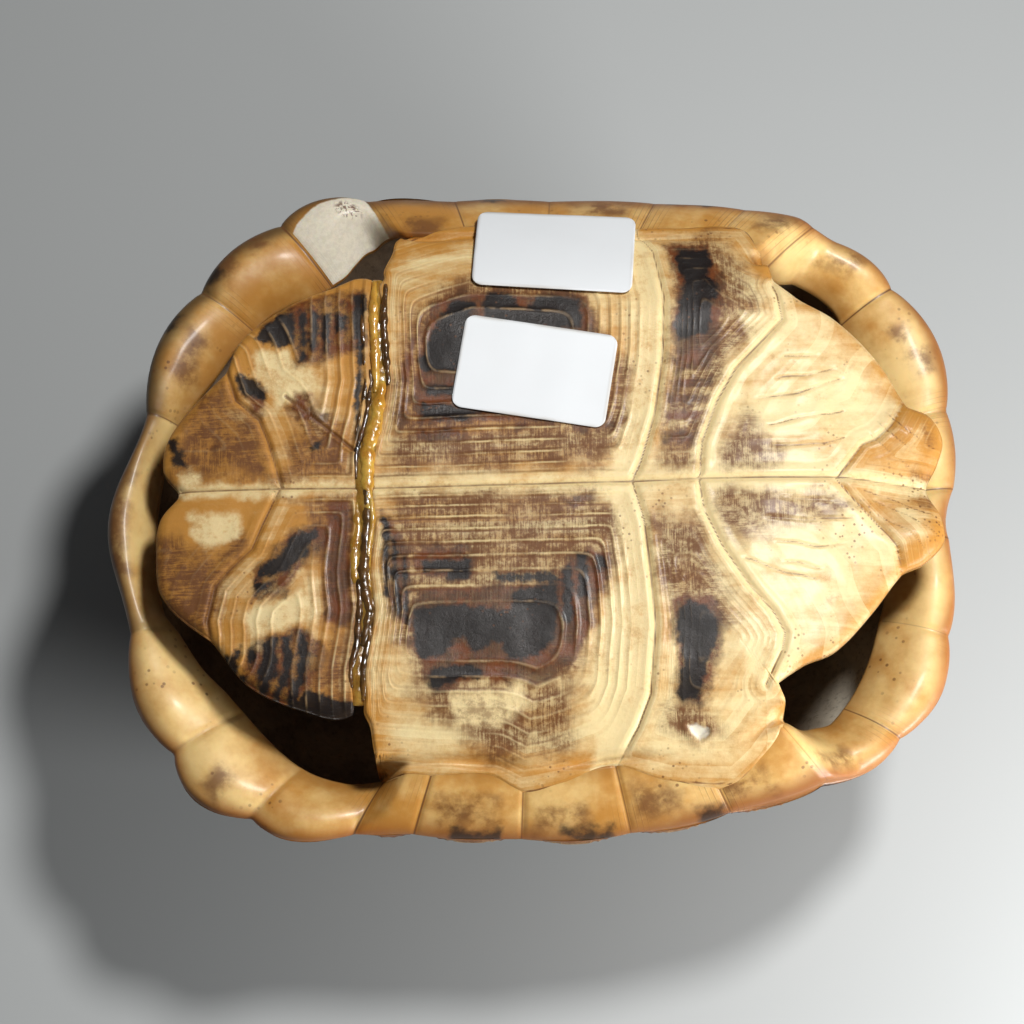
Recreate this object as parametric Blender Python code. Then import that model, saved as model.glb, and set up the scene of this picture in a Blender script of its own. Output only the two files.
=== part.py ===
"""A dried tortoise shell, resting on its domed back with the flat belly plate facing up.

Millimetres in the named values, metres in the scene. +X points to the head end, +Z up.
The origin is on the surface that the shell rests on, under the middle of its outline.
"""

import math

import bmesh
import bpy

MM = 0.001

# Driving heights
BELLY_HEIGHT = 100.0
RIM_HEIGHT_MIDDLE = 80.0
RIM_DIP_AT_HEAD = 8.0
RIM_RISE_AT_TAIL = 3.0
HALF_LENGTH = 106.5

# How the belly's outer face falls away: how far, from which place, and over how many millimetres
BRIDGE_ROLL, BRIDGE_ROLL_STARTS, BRIDGE_ROLL_WIDTH = 17.0, 44.0, 38.0
BRIDGE_ROLL_SHARPNESS = 1.7
HEAD_DROP, HEAD_DROP_STARTS, HEAD_DROP_LENGTH = 6.5, 45.0, 55.0
TAIL_DROP, TAIL_DROP_STARTS, TAIL_DROP_LENGTH = 3.5, 42.0, 50.0

# The two thick throat scutes and the valley between them: middle, half sizes, height
THROAT_HUMPS = [
    ((94.0, 12.5), (8.0, 6.5), 2.6), ((94.0, -13.5), (8.0, 6.5), 2.6), ((93.0, -0.5), (9.0, 4.5), -1.8),
]

# The bridges, where belly and back grow together, and over what length each begins and ends
BRIDGE_BACK, BRIDGE_FRONT = (-48.0, -38.0), (68.0, 80.0)
BRIDGE_FLUSH_STEP = 0.5
BRIDGE_RIM_DROP = 2.2
BRIDGE_LIP_DROP = 3.0
BRIDGE_LIP_STARTS = 0.86

# How much of the bulging scutes under the dome's middle is worn flat, where the shell rests
FOOT_TRIM = 1.4

# Walls
DOME_WALL = 4.0
BELLY_WALL = 5.0
BRIDGE_EXTRA_WALL = 4.0
BRIDGE_EXTRA_WALL_GROWS = (52.0, 68.0)
BELLY_NOSE = 3.0
# Thickness that is left at the very edge of the belly plate, as a share of the wall
NOSE_BLUNTNESS = 0.25

# Belly side of the edge scutes at the leg openings: how plump it is and how far its lip hangs
BAND_PLUMPNESS = 3.4
BAND_PLUMP_SHARE_AT_SEAM = 0.45
BAND_CREST_SKEW = 0.75
BAND_LIP_DROP = 5.0

# How far the edge scutes flare out past the dome, beside the bridges and elsewhere
FLARE_AT_BRIDGE = 2.0
FLARE_MORE_AT_LEGS = 4.0
FLARE_SHARPNESS = 7
RIM_SEAM_NICK = 0.9
RIM_SEAM_NICK_STARTS = (0.8, 0.97)
RIM_SEAM_SHARPNESS = 0.7

# Cuts across each block before it is shaped: along the plan, and across the edge
BOWL_CUTS = (40, 4)
HOLLOW_CUTS = (18, 1)
BELLY_CUTS = (22, 2)
LOBE_CUTS = (14, 2)
LABEL_CUTS = (8, 0)

# Where two edge scutes meet on the rim, from the head end round the +Y side to the tail and back
RIM_SEAMS = [
    (105.8, 5.0), (105.2, 26.0), (93.0, 58.5), (73.0, 72.8), (55.5, 77.5), (32.5, 80.6),
    (5.5, 82.4), (-19.0, 83.2), (-41.3, 83.6), (-63.6, 76.6), (-83.6, 58.4), (-96.9, 25.8),
    (-100.0, -31.4), (-89.0, -61.4), (-70.1, -77.5), (-45.5, -81.7), (-31.0, -82.0),
    (-5.0, -83.5), (21.3, -82.7), (45.5, -78.6), (69.0, -71.9), (88.3, -59.6),
    (102.0, -33.6), (103.8, -8.0),
]
# How far each of those scutes bulges past a smooth line between its two seams
RIM_BULGES = [
    0.8, 3.8, 1.8, 0.6, 0.4, 0.4, 0.4, 0.5, 2.8, 2.1, 3.3, 4.2,
    3.2, 4.0, 2.6, 0.1, 0.3, 0.4, 0.5, 0.1, 1.1, 3.3, 0.8, -1.2,
]
# How rounded the bulges are: below 1 full, and the one over the tail ends in a blunt point
BULGE_ROUNDNESS = 0.8
TAIL_SCUTE, TAIL_SCUTE_ROUNDNESS = 11, 2.4

# Inner lip of the edge scutes, where their belly side ends, in the same order
LIP_EDGE = [
    (88.5, 0.0), (87.5, 12.0), (86.5, 22.0), (84.0, 31.0), (80.5, 42.0), (77.6, 53.2),
    (67.5, 61.0), (62.3, 59.0), (56.0, 58.5), (49.0, 62.5), (36.0, 65.5), (18.0, 66.5),
    (0.0, 67.3), (-18.0, 67.5), (-29.0, 68.0), (-34.0, 69.8), (-37.5, 70.6), (-41.0, 69.3),
    (-43.5, 66.5), (-47.0, 62.0), (-53.0, 58.0), (-60.0, 55.3), (-68.0, 50.5), (-74.0, 44.0),
    (-79.0, 36.5), (-84.5, 29.5), (-89.5, 22.5), (-93.0, 13.0), (-93.5, 5.0), (-93.9, -2.2),
    (-94.2, -12.0), (-93.0, -23.0), (-87.5, -30.5), (-81.8, -38.8), (-74.8, -46.0),
    (-65.1, -56.9), (-59.5, -62.4), (-47.3, -67.6), (-36.0, -67.0), (-20.0, -66.5),
    (0.0, -67.5), (18.0, -66.5), (36.0, -65.0), (50.0, -62.0), (58.0, -57.5), (66.0, -55.5),
    (71.4, -54.0), (76.9, -47.0), (81.3, -38.0), (84.2, -29.2), (86.8, -20.0), (88.2, -10.0),
]

# Free edge of the belly plate with its bridges, from the notch between the throat scutes
BELLY_CENTRE = (15.0, 0.0)
BELLY_EDGE = [
    (96.0, -1.5), (99.0, 5.0), (100.5, 11.0), (98.0, 16.5), (92.0, 19.5), (86.5, 29.5),
    (75.0, 42.0), (65.5, 48.0), (61.0, 52.0), (60.5, 60.0), (61.5, 68.5), (57.0, 72.0),
    (40.0, 72.0), (20.0, 71.0), (4.0, 74.0), (-10.0, 72.5), (-24.0, 72.0), (-33.0, 70.0),
    (-34.5, 63.0), (-36.5, 57.5), (-38.0, 53.0),
]
BELLY_EDGE_NEAR = [
    (-42.0, -53.0), (-41.0, -58.0), (-40.0, -64.0), (-40.5, -70.0), (-30.0, -72.5),
    (-12.0, -72.5), (-4.5, -76.0), (5.0, -74.0), (17.0, -70.5), (30.0, -74.0), (46.0, -75.0),
    (56.0, -70.5), (61.0, -62.0), (58.5, -54.0), (57.0, -50.5), (63.0, -46.5), (71.0, -43.0),
    (80.5, -33.5), (88.5, -23.5), (94.5, -20.5), (99.5, -14.5), (99.0, -9.0),
]
# The hinge across the belly, from the +Y side to the -Y side
HINGE_LINE = [
    (-38.0, 55.0), (-38.5, 48.0), (-38.0, 33.0), (-37.5, 27.0), (-39.0, 18.0), (-41.0, 9.0),
    (-41.5, 0.0), (-41.0, -10.0), (-42.0, -21.0), (-41.0, -31.0), (-42.0, -38.0),
    (-43.5, -46.0), (-43.5, -56.0),
]
HINGE_HALF_GAP = 1.4
# Free edge of the hind lobe from the near end of the hinge round the tail to its far end
LOBE_CENTRE = (-64.0, 0.0)
LOBE_EDGE = [
    (-46.5, -56.5), (-57.0, -54.5), (-69.5, -48.5), (-79.5, -36.5), (-91.0, -25.5),
    (-92.5, -16.0), (-91.5, -6.0), (-87.0, 0.0), (-91.0, 6.5), (-89.5, 15.0), (-84.5, 22.0),
    (-76.0, 30.5), (-72.5, 38.5), (-65.0, 45.0), (-50.0, 52.5), (-41.0, 55.5),
]

# Bead of dried membrane in the hinge
BEAD_RADIUS = 0.95
BEAD_SINK = 1.3
BEAD_RINGS = 34
BEAD_SIDES = 8
BEAD_LUMP, BEAD_LUMPS_TURN = 0.15, 37

# Paper labels: middle, size, turn in degrees
LABEL_THICKNESS = 0.3
LABEL_CLEARANCE = 0.45
LABEL_STIFFNESS = 2.5
LABEL_CORNER = 3.0
LABELS = {
    "paper_label_far": ((6.0, 61.7), (39.0, 23.0), -5.0),
    "paper_label_middle": ((0.6, 28.6), (38.0, 24.2), -10.2),
}

# Middles of the back's large scutes on the flattened dome: a share of the way from the middle
# to the rim, the bearing from the head in degrees, and how much nearer than it is it counts
DOME_SCUTES = [
    (0.00, 0.0, 0.0), (0.36, 0.0, 0.0), (0.70, 0.0, 0.0), (0.36, 180.0, 0.0), (0.72, 180.0, 0.0),
    (0.62, 38.0, 0.04), (0.50, 72.0, 0.05), (0.50, 110.0, 0.05), (0.62, 146.0, 0.04),
    (0.62, -38.0, 0.04), (0.50, -72.0, 0.05), (0.50, -110.0, 0.05), (0.62, -146.0, 0.04),
]
DOME_SCUTE_LIFT = 3.4
DOME_SCUTE_SLOPE = 0.24
DOME_SCUTE_SHARPNESS = 0.6
EDGE_SCUTES_START = 0.83
EDGE_SCUTE_GAP = 0.10
EDGE_SCUTE_SLOPE = 0.08
EDGE_SCUTE_LIFT = 1.2
EDGE_SCUTE_FADES = (0.93, 1.0)
DOME_MIDDLE_HEIGHT = 62.0
DOME_ROUNDNESS = 2.4
# How much of a quarter round the dome's side uses at its ends, and how much more at the bridges
DOME_QUARTER_USED, DOME_QUARTER_MORE = 0.965, 0.028
# The hollow's widest place, as a share of the rim's height, and how far it cuts into the lip
WIDEST_HEIGHT_SHARE = 0.80
LIP_STARTS = 0.80
LIP_CUT = 1.1
LID_RISE = 12.0
LID_LEAN = 7.3
LIP_TURN_SHARPNESS = 1.8


def smooth_step(low, high, value):
    """0 below low, 1 above high, and a smooth curve between them."""
    t = min(1.0, max(0.0, (value - low) / (high - low)))
    return t * t * (3.0 - 2.0 * t)


class PolarOutline:
    """A closed outline round a middle, read as a radius for each bearing."""

    def __init__(self, points, centre=(0.0, 0.0)):
        self.centre = centre
        polar = []
        for x, y in points:
            dx, dy = x - centre[0], y - centre[1]
            polar.append((math.atan2(dy, dx) % math.tau, math.hypot(dx, dy)))
        polar.sort()
        self.angles = [a for a, _ in polar]
        self.radii = [r for _, r in polar]
        self.slopes = self._slopes()

    def _span(self, i):
        count = len(self.angles)
        a0, a1 = self.angles[i % count], self.angles[(i + 1) % count]
        return (a1 - a0) % math.tau

    def _slopes(self):
        """Slopes that never overshoot the given radii."""
        count = len(self.radii)
        steps = [(self.radii[(i + 1) % count] - self.radii[i]) / self._span(i) for i in range(count)]
        slopes = []
        for i in range(count):
            before, after = steps[i - 1], steps[i]
            same_way = before * after > 0
            slopes.append(2 * before * after / (before + after) if same_way else 0.0)
        return slopes

    def place(self, angle):
        """The stretch that a bearing lies in, and how far along it, from 0 to 1."""
        angle %= math.tau
        count = len(self.angles)
        for i in range(count):
            along = (angle - self.angles[i]) % math.tau
            if along <= self._span(i):
                return i, along / self._span(i)
        return count - 1, 1.0

    def radius(self, angle):
        i, t = self.place(angle)
        j = (i + 1) % len(self.radii)
        span = self._span(i)
        rise = self.radii[i] * (1 + 2 * t) * (1 - t) ** 2 + self.radii[j] * t * t * (3 - 2 * t)
        return rise + span * (self.slopes[i] * t * (1 - t) ** 2 - self.slopes[j] * t * t * (1 - t))


class RimOutline(PolarOutline):
    """The rim of the bowl, with a bulge on each edge scute."""

    def radius(self, angle):
        i, t = self.place(angle)
        roundness = TAIL_SCUTE_ROUNDNESS if i == TAIL_SCUTE else BULGE_ROUNDNESS
        return self.seam_radius(angle) + RIM_BULGES[i] * math.sin(math.pi * t) ** roundness

    def seam_radius(self, angle):
        """Radius of the smooth line through the seams."""
        return super().radius(angle)

    def notch(self, angle):
        """0 at a seam between two edge scutes, 1 halfway between two seams."""
        _, t = self.place(angle)
        return math.sin(math.pi * t) ** RIM_SEAM_SHARPNESS


RIM = RimOutline(RIM_SEAMS)
LIP = PolarOutline(LIP_EDGE)


def rim_height(x):
    """Height of the rim's sharp edge: low over the neck, high beside the tail."""
    head, tail = max(0.0, x / HALF_LENGTH), max(0.0, -x / HALF_LENGTH)
    return RIM_HEIGHT_MIDDLE - RIM_DIP_AT_HEAD * head**2 + RIM_RISE_AT_TAIL * tail**2


def bridge_share(x):
    """1 beside the bridges that join belly and back, 0 at the leg openings."""
    return smooth_step(*BRIDGE_BACK, x) * (1.0 - smooth_step(*BRIDGE_FRONT, x))


def belly_height(x, y):
    """Height of the belly's outer face, which rolls down to the bridges and the throat."""
    side = max(0.0, (abs(y) - BRIDGE_ROLL_STARTS) / BRIDGE_ROLL_WIDTH)
    front = max(0.0, (x - HEAD_DROP_STARTS) / HEAD_DROP_LENGTH)
    back = max(0.0, (-TAIL_DROP_STARTS - x) / TAIL_DROP_LENGTH)
    height = BELLY_HEIGHT - BRIDGE_ROLL * side**BRIDGE_ROLL_SHARPNESS
    height -= HEAD_DROP * front**2 + TAIL_DROP * back**2
    for (mid_x, mid_y), (half_x, half_y), hump in THROAT_HUMPS:
        height += hump * math.exp(-(((x - mid_x) / half_x) ** 2) - ((y - mid_y) / half_y) ** 2)
    return height


def square_to_disc(u, v):
    """(share of the radius, bearing) for a point of the square from -1 to 1, area by area."""
    if abs(u) < 1e-9 and abs(v) < 1e-9:
        return 0.0, 0.0
    if abs(u) >= abs(v):
        angle = math.pi / 4 * v / u + (math.pi if u < 0 else 0.0)
    else:
        angle = math.pi / 2 - math.pi / 4 * u / v + (math.pi if v < 0 else 0.0)
    return max(abs(u), abs(v)), angle


def flat_place(share, bearing):
    """A point of the dome laid out flat, as if the scutes were on a disc."""
    return share * math.cos(bearing), share * math.sin(bearing)


def scute_lift(share, angle):
    """How far the dome's face stands out of the seams between its scutes."""
    place = flat_place(share, angle)
    away = sorted(
        math.dist(place, flat_place(s, math.radians(b))) - nearer for s, b, nearer in DOME_SCUTES
    )
    inside = min(1.0, (away[1] - away[0]) / DOME_SCUTE_SLOPE)
    large = DOME_SCUTE_LIFT * inside**DOME_SCUTE_SHARPNESS
    to_edge = smooth_step(EDGE_SCUTES_START - EDGE_SCUTE_GAP, EDGE_SCUTES_START, share)
    past_seam = smooth_step(0.0, EDGE_SCUTE_SLOPE, share - EDGE_SCUTES_START)
    small = EDGE_SCUTE_LIFT * RIM.notch(angle) * past_seam
    return large * (1.0 - to_edge) + small * (1.0 - smooth_step(*EDGE_SCUTE_FADES, share))


def dome_steepness(angle):
    """How much of a quarter round the dome's side uses: nearly all of it beside the bridges."""
    return DOME_QUARTER_USED + DOME_QUARTER_MORE * math.sin(angle) ** 2


def dome_out(share, angle):
    """Reach of the dome as a share of the rim's, for even steps along its curve."""
    quarter = math.asin(dome_steepness(angle))
    return math.sin(share * quarter) / math.sin(quarter)


def dome_rise(share, angle):
    """Height of the dome's outer face as a share of the rim's."""
    used = dome_steepness(angle)
    here = 1 - math.sqrt(1 - (used * dome_out(share, angle)) ** DOME_ROUNDNESS)
    return here / (1 - math.sqrt(1 - used**DOME_ROUNDNESS))


def rim_flare(angle):
    """How far the edge scutes stand out past the dome."""
    x = RIM.radius(angle) * math.cos(angle)
    return FLARE_AT_BRIDGE + FLARE_MORE_AT_LEGS * (1.0 - bridge_share(x))


def dome_section(share, angle):
    """(reach, height) of the dome's outer face without its scutes."""
    rim = RIM.radius(angle)
    flare = rim_flare(angle)
    reach = (rim - flare) * dome_out(share, angle) + flare * share**FLARE_SHARPNESS
    base = DOME_SCUTE_LIFT - FOOT_TRIM
    top = rim_height(rim * math.cos(angle))
    return reach, base + (top - base) * dome_rise(share, angle)


def dome_outer(share, angle):
    """A point of the bowl's outer face."""
    reach, z = dome_section(share, angle)
    reach -= RIM_SEAM_NICK * (1 - RIM.notch(angle)) * smooth_step(*RIM_SEAM_NICK_STARTS, share)
    away = math.hypot(reach, z - DOME_MIDDLE_HEIGHT)
    stretch = 1 + scute_lift(share, angle) / away
    reach *= stretch
    z = DOME_MIDDLE_HEIGHT + (z - DOME_MIDDLE_HEIGHT) * stretch
    return reach * math.cos(angle), reach * math.sin(angle), z


def band_point(inward, angle):
    """A point of the edge scutes' belly side: inward is 0 at the rim and 1 at the lip."""
    rim = RIM.radius(angle)
    x_rim = rim * math.cos(angle)
    bridge = bridge_share(x_rim)
    reach = rim + (LIP.radius(angle) - rim) * inward
    x, y = reach * math.cos(angle), reach * math.sin(angle)
    at_seam = BAND_PLUMP_SHARE_AT_SEAM
    plump = BAND_PLUMPNESS * (at_seam + (1 - at_seam) * RIM.notch(angle))
    crest = math.sin(math.pi * inward**BAND_CREST_SKEW)
    leg = rim_height(x_rim) + plump * crest - BAND_LIP_DROP * inward**2
    flush = belly_height(x, y) - BRIDGE_FLUSH_STEP - BRIDGE_RIM_DROP * (1 - inward) ** 2
    flush -= BRIDGE_LIP_DROP * smooth_step(BRIDGE_LIP_STARTS, 1.0, inward)
    return x, y, (1 - bridge) * leg + bridge * flush


def top_height(x, y):
    """Height of the upper one of the belly plate and the edge scutes at a place of the plan."""
    angle = math.atan2(y, x)
    rim = RIM.radius(angle)
    inward = (rim - math.hypot(x, y)) / (rim - LIP.radius(angle))
    if 0.0 <= inward <= 1.0:
        return max(belly_height(x, y), band_point(inward, angle)[2])
    return belly_height(x, y)


def dome_share_at(rise, angle):
    """The share of the way to the rim at which the dome has a given share of its height."""
    used = dome_steepness(angle)
    whole = 1 - math.sqrt(1 - used**DOME_ROUNDNESS)
    out = (1 - (1 - rise * whole) ** 2) ** (1 / DOME_ROUNDNESS) / used
    return math.asin(out * used) / math.asin(used)


def wall_inside(share, angle):
    """(reach, height) of the point a wall's thickness inside the dome's outer face."""
    step = 0.002
    r0, z0 = dome_section(max(0.0, share - step), angle)
    r1, z1 = dome_section(share + step, angle)
    reach, z = dome_section(share, angle)
    length = math.hypot(r1 - r0, z1 - z0)
    across = DOME_WALL * (z1 - z0) / length if share > 0 else 0.0
    return reach - across, z + DOME_WALL * (r1 - r0) / length


def hollow_wall(share, angle):
    """(reach, height) of the hollow's wall, which narrows again towards the lip."""
    widest_share = dome_share_at(WIDEST_HEIGHT_SHARE, angle)
    if share <= LIP_STARTS:
        return wall_inside(widest_share * share / LIP_STARTS, angle)
    wide, low = wall_inside(widest_share, angle)
    along = (share - LIP_STARTS) / (1 - LIP_STARTS)
    lip = LIP.radius(angle) + LIP_CUT
    reach = wide + (lip - wide) * along**LIP_TURN_SHARPNESS
    return reach, low + (band_point(1.0, angle)[2] - low) * along


def subdivided_block(plan_cuts, edge_cuts):
    """A cube from -1 to 1 whose top and bottom are fine grids and whose sides have few rows."""
    mesh = bmesh.new()
    bmesh.ops.create_cube(mesh, size=2.0)
    flat = [e for e in mesh.edges if abs(e.verts[0].co.z - e.verts[1].co.z) < 0.5]
    bmesh.ops.subdivide_edges(mesh, edges=flat, cuts=plan_cuts - 1, use_grid_fill=True)
    upright = [e for e in mesh.edges if abs(e.verts[0].co.z - e.verts[1].co.z) > 0.5]
    if edge_cuts:
        bmesh.ops.subdivide_edges(mesh, edges=upright, cuts=edge_cuts, use_grid_fill=True)
    return mesh


def finish_mesh(mesh, name, material):
    """Makes the object for a shaped mesh of flat triangles, its faces pointing out."""
    bmesh.ops.triangulate(mesh, faces=mesh.faces)
    if mesh.calc_volume(signed=True) < 0:
        bmesh.ops.reverse_faces(mesh, faces=mesh.faces)
    data = bpy.data.meshes.new(name)
    mesh.to_mesh(data)
    mesh.free()
    data.materials.append(material)
    data.shade_smooth()
    obj = bpy.data.objects.new(name, data)
    bpy.context.scene.collection.objects.link(obj)
    return obj


def shape(mesh, place):
    """Moves every vertex of a block to place(u, v, w), given in millimetres."""
    for vertex in mesh.verts:
        x, y, z = place(*vertex.co)
        vertex.co = (x * MM, y * MM, z * MM)


def make_material(name, colour, roughness):
    material = bpy.data.materials.new(name)
    material.use_nodes = True
    shader = material.node_tree.nodes["Principled BSDF"]
    shader.inputs["Base Color"].default_value = (*colour, 1.0)
    shader.inputs["Roughness"].default_value = roughness
    shader.inputs["Metallic"].default_value = 0.0
    return material


def bowl_place(u, v, w):
    """The domed back as a full solid: its underside is the dome, its sides the edge scutes."""
    share, angle = square_to_disc(u, v)
    if w <= -1 + 1e-6:
        return dome_outer(share, angle)
    x, y, z = band_point((w + 1) / 2, angle)
    return x * share, y * share, z


def hollow_place(u, v, w):
    """The hollow that is cut from the back, with a lid that stands clear of the lip."""
    share, angle = square_to_disc(u, v)
    reach, z = hollow_wall(share, angle)
    if w > 0:
        reach, z = (LIP.radius(angle) - LID_LEAN) * share, BELLY_HEIGHT + LID_RISE
    return reach * math.cos(angle), reach * math.sin(angle), z


def make_bowl(material):
    mesh = subdivided_block(*BOWL_CUTS)
    shape(mesh, bowl_place)
    for vertex in mesh.verts:
        vertex.co.z = max(vertex.co.z, 0.0)
    return finish_mesh(mesh, "shell", material)


def make_hollow(material):
    mesh = subdivided_block(*HOLLOW_CUTS)
    shape(mesh, hollow_place)
    return finish_mesh(mesh, "hollow", material)


def plate_place(outline, u, v, w, wall):
    """A plate that follows the belly: full thickness inside, a round nose along its edge."""
    share, angle = square_to_disc(u, v)
    radius = outline.radius(angle)
    inside = (1 - share) * radius
    full = min(1.0, inside / BELLY_NOSE)
    swelling = math.sqrt(max(0.0, 1 - (1 - full) ** 2))
    half = wall / 2 * (NOSE_BLUNTNESS + (1 - NOSE_BLUNTNESS) * swelling)
    x = outline.centre[0] + radius * share * math.cos(angle)
    y = outline.centre[1] + radius * share * math.sin(angle)
    middle = belly_height(x, y) - wall / 2
    return x, y, middle + w * half


def make_belly(material):
    hinge = [(x + HINGE_HALF_GAP, y) for x, y in HINGE_LINE]
    outline = PolarOutline(BELLY_EDGE + hinge + BELLY_EDGE_NEAR, BELLY_CENTRE)

    def place(u, v, w):
        share, angle = square_to_disc(u, v)
        x = BELLY_CENTRE[0] + outline.radius(angle) * share * math.cos(angle)
        y = BELLY_CENTRE[1] + outline.radius(angle) * share * math.sin(angle)
        extra = BRIDGE_EXTRA_WALL * smooth_step(*BRIDGE_EXTRA_WALL_GROWS, abs(y)) * bridge_share(x)
        return plate_place(outline, u, v, w, BELLY_WALL + extra)

    mesh = subdivided_block(*BELLY_CUTS)
    shape(mesh, place)
    return finish_mesh(mesh, "belly_plate", material)


def make_lobe(material):
    hinge = [(x - HINGE_HALF_GAP, y) for x, y in HINGE_LINE]
    outline = PolarOutline(LOBE_EDGE + hinge, LOBE_CENTRE)
    mesh = subdivided_block(*LOBE_CUTS)
    shape(mesh, lambda u, v, w: plate_place(outline, u, v, w, BELLY_WALL))
    return finish_mesh(mesh, "hind_lobe", material)


def combine(shell, helper, operation):
    """Cuts the helper from the shell, or grows the two together."""
    step = shell.modifiers.new(helper.name, "BOOLEAN")
    step.operation = operation
    step.object = helper
    helper.hide_render = True
    helper.display_type = "WIRE"


def along_line(points, share):
    """The place a share of the way along a line of straight runs."""
    lengths = [math.dist(a, b) for a, b in zip(points, points[1:])]
    left = sum(lengths) * share
    for (ax, ay), (bx, by), length in zip(points, points[1:], lengths):
        if left <= length:
            t = left / length
            return ax + (bx - ax) * t, ay + (by - ay) * t
        left -= length
    return points[-1]


def make_hinge_bead(material):
    """The dried membrane that holds the hind lobe in the hinge's groove, a lumpy round bead."""
    mesh = bmesh.new()
    bmesh.ops.create_uvsphere(mesh, u_segments=BEAD_SIDES, v_segments=BEAD_RINGS, radius=1.0)
    for vertex in mesh.verts:
        across, up, pole = vertex.co
        share = 1 - math.acos(max(-1.0, min(1.0, pole))) / math.pi
        x, y = along_line(HINGE_LINE, 1 - share)
        ring = math.hypot(across, up)
        radius = 0.0
        if ring > 1e-6:
            radius = BEAD_RADIUS * (1 + BEAD_LUMP * math.sin(BEAD_LUMPS_TURN * share)) / ring
        z = belly_height(x, y) - BEAD_SINK
        vertex.co = ((x + across * radius) * MM, y * MM, (z + up * radius) * MM)
    return finish_mesh(mesh, "hinge_membrane", material)


def make_label(name, middle, size, turn, material):
    """A paper label that follows the face under it, with rounded corners."""
    half_x, half_y = size[0] / 2, size[1] / 2
    turn = math.radians(turn)
    far = LABEL_STIFFNESS
    nearby = [(0, 0), (far, 0), (-far, 0), (0, far), (0, -far)]

    def place(u, v, w):
        x, y = u * half_x, v * half_y
        over_x = max(0.0, abs(x) - (half_x - LABEL_CORNER))
        over_y = max(0.0, abs(y) - (half_y - LABEL_CORNER))
        reach = math.hypot(over_x, over_y)
        if reach > LABEL_CORNER:
            x -= math.copysign(over_x * (1 - LABEL_CORNER / reach), x)
            y -= math.copysign(over_y * (1 - LABEL_CORNER / reach), y)
        px = middle[0] + x * math.cos(turn) - y * math.sin(turn)
        py = middle[1] + x * math.sin(turn) + y * math.cos(turn)
        low = max(top_height(px + dx, py + dy) for dx, dy in nearby) + LABEL_CLEARANCE
        return px, py, low + LABEL_THICKNESS * (w + 1) / 2

    mesh = subdivided_block(*LABEL_CUTS)
    shape(mesh, place)
    return finish_mesh(mesh, name, material)


def clear_scene():
    for obj in list(bpy.data.objects):
        bpy.data.objects.remove(obj)


def group(name, objects):
    """Moves the objects to a collection of their own."""
    collection = bpy.data.collections.new(name)
    bpy.context.scene.collection.children.link(collection)
    for obj in objects:
        bpy.context.scene.collection.objects.unlink(obj)
        collection.objects.link(obj)


def main():
    clear_scene()
    horn = make_material("shell_horn", (0.62, 0.42, 0.20), 0.35)
    lobe_horn = make_material("lobe_horn", (0.60, 0.40, 0.19), 0.35)
    membrane = make_material("hinge_membrane", (0.45, 0.24, 0.04), 0.15)
    paper = make_material("label_paper", (0.86, 0.88, 0.90), 0.6)
    shell = make_bowl(horn)
    hollow = make_hollow(horn)
    belly = make_belly(horn)
    combine(shell, hollow, "DIFFERENCE")
    combine(shell, belly, "UNION")
    parts = [shell, make_lobe(lobe_horn), make_hinge_bead(membrane)]
    for name, (middle, size, turn) in LABELS.items():
        parts.append(make_label(name, middle, size, turn, paper))
    group("tortoise_shell", parts)
    group("helpers", [hollow, belly])


main()
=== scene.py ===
"""A dried tortoise shell that rests on its domed back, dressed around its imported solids.

The shape tables are in millimetres and degrees, and the meshes are made in metres.
+X points to the head end, +Y to the far side of the belly, +Z up out of the belly plate.
"""

import math

import bpy
import numpy as np
from mathutils import Matrix, Vector, noise


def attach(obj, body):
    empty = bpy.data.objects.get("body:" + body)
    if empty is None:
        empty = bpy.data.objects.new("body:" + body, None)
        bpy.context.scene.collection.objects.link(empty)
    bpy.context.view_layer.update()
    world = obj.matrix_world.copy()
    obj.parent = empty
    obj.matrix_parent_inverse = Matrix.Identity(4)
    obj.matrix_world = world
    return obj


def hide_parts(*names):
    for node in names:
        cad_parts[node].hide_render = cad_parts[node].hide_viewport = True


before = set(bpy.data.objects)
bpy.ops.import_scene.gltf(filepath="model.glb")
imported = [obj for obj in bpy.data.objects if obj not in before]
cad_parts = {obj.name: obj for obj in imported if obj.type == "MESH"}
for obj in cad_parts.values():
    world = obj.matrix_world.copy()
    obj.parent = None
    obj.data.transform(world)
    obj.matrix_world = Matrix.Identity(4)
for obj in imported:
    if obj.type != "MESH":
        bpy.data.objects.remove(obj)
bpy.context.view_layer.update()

bl_info = {
    "name": "Tortoise shell",
    "version": (1, 0, 0),
    "blender": (4, 5, 0),
    "location": "3D View > Sidebar > Tortoise Shell",
    "description": "Makes a dried tortoise shell with its horn, bone, hinge film and labels",
    "category": "Add Mesh",
}

MM = 0.001
TURN = math.tau

# Driving heights of the body, as in its solids
BELLY_HEIGHT = 100.0
RIM_HEIGHT_MIDDLE = 80.0
RIM_DIP_AT_HEAD = 8.0
RIM_RISE_AT_TAIL = 3.0
HALF_LENGTH = 106.5
FOOT_TRIM = 1.4
DOME_WALL = 4.0
BELLY_WALL = 5.0
BRIDGE_EXTRA_WALL = 4.0
BRIDGE_EXTRA_WALL_GROWS = (52.0, 68.0)
NOSE_BLUNTNESS = 0.25

# How the belly's outer face falls away: how far, from which place, and over how many millimetres
BRIDGE_ROLL, BRIDGE_ROLL_STARTS, BRIDGE_ROLL_WIDTH = 17.0, 44.0, 38.0
BRIDGE_ROLL_SHARPNESS = 1.7
HEAD_DROP, HEAD_DROP_STARTS, HEAD_DROP_LENGTH = 6.5, 45.0, 55.0
TAIL_DROP, TAIL_DROP_STARTS, TAIL_DROP_LENGTH = 3.5, 42.0, 50.0

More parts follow.
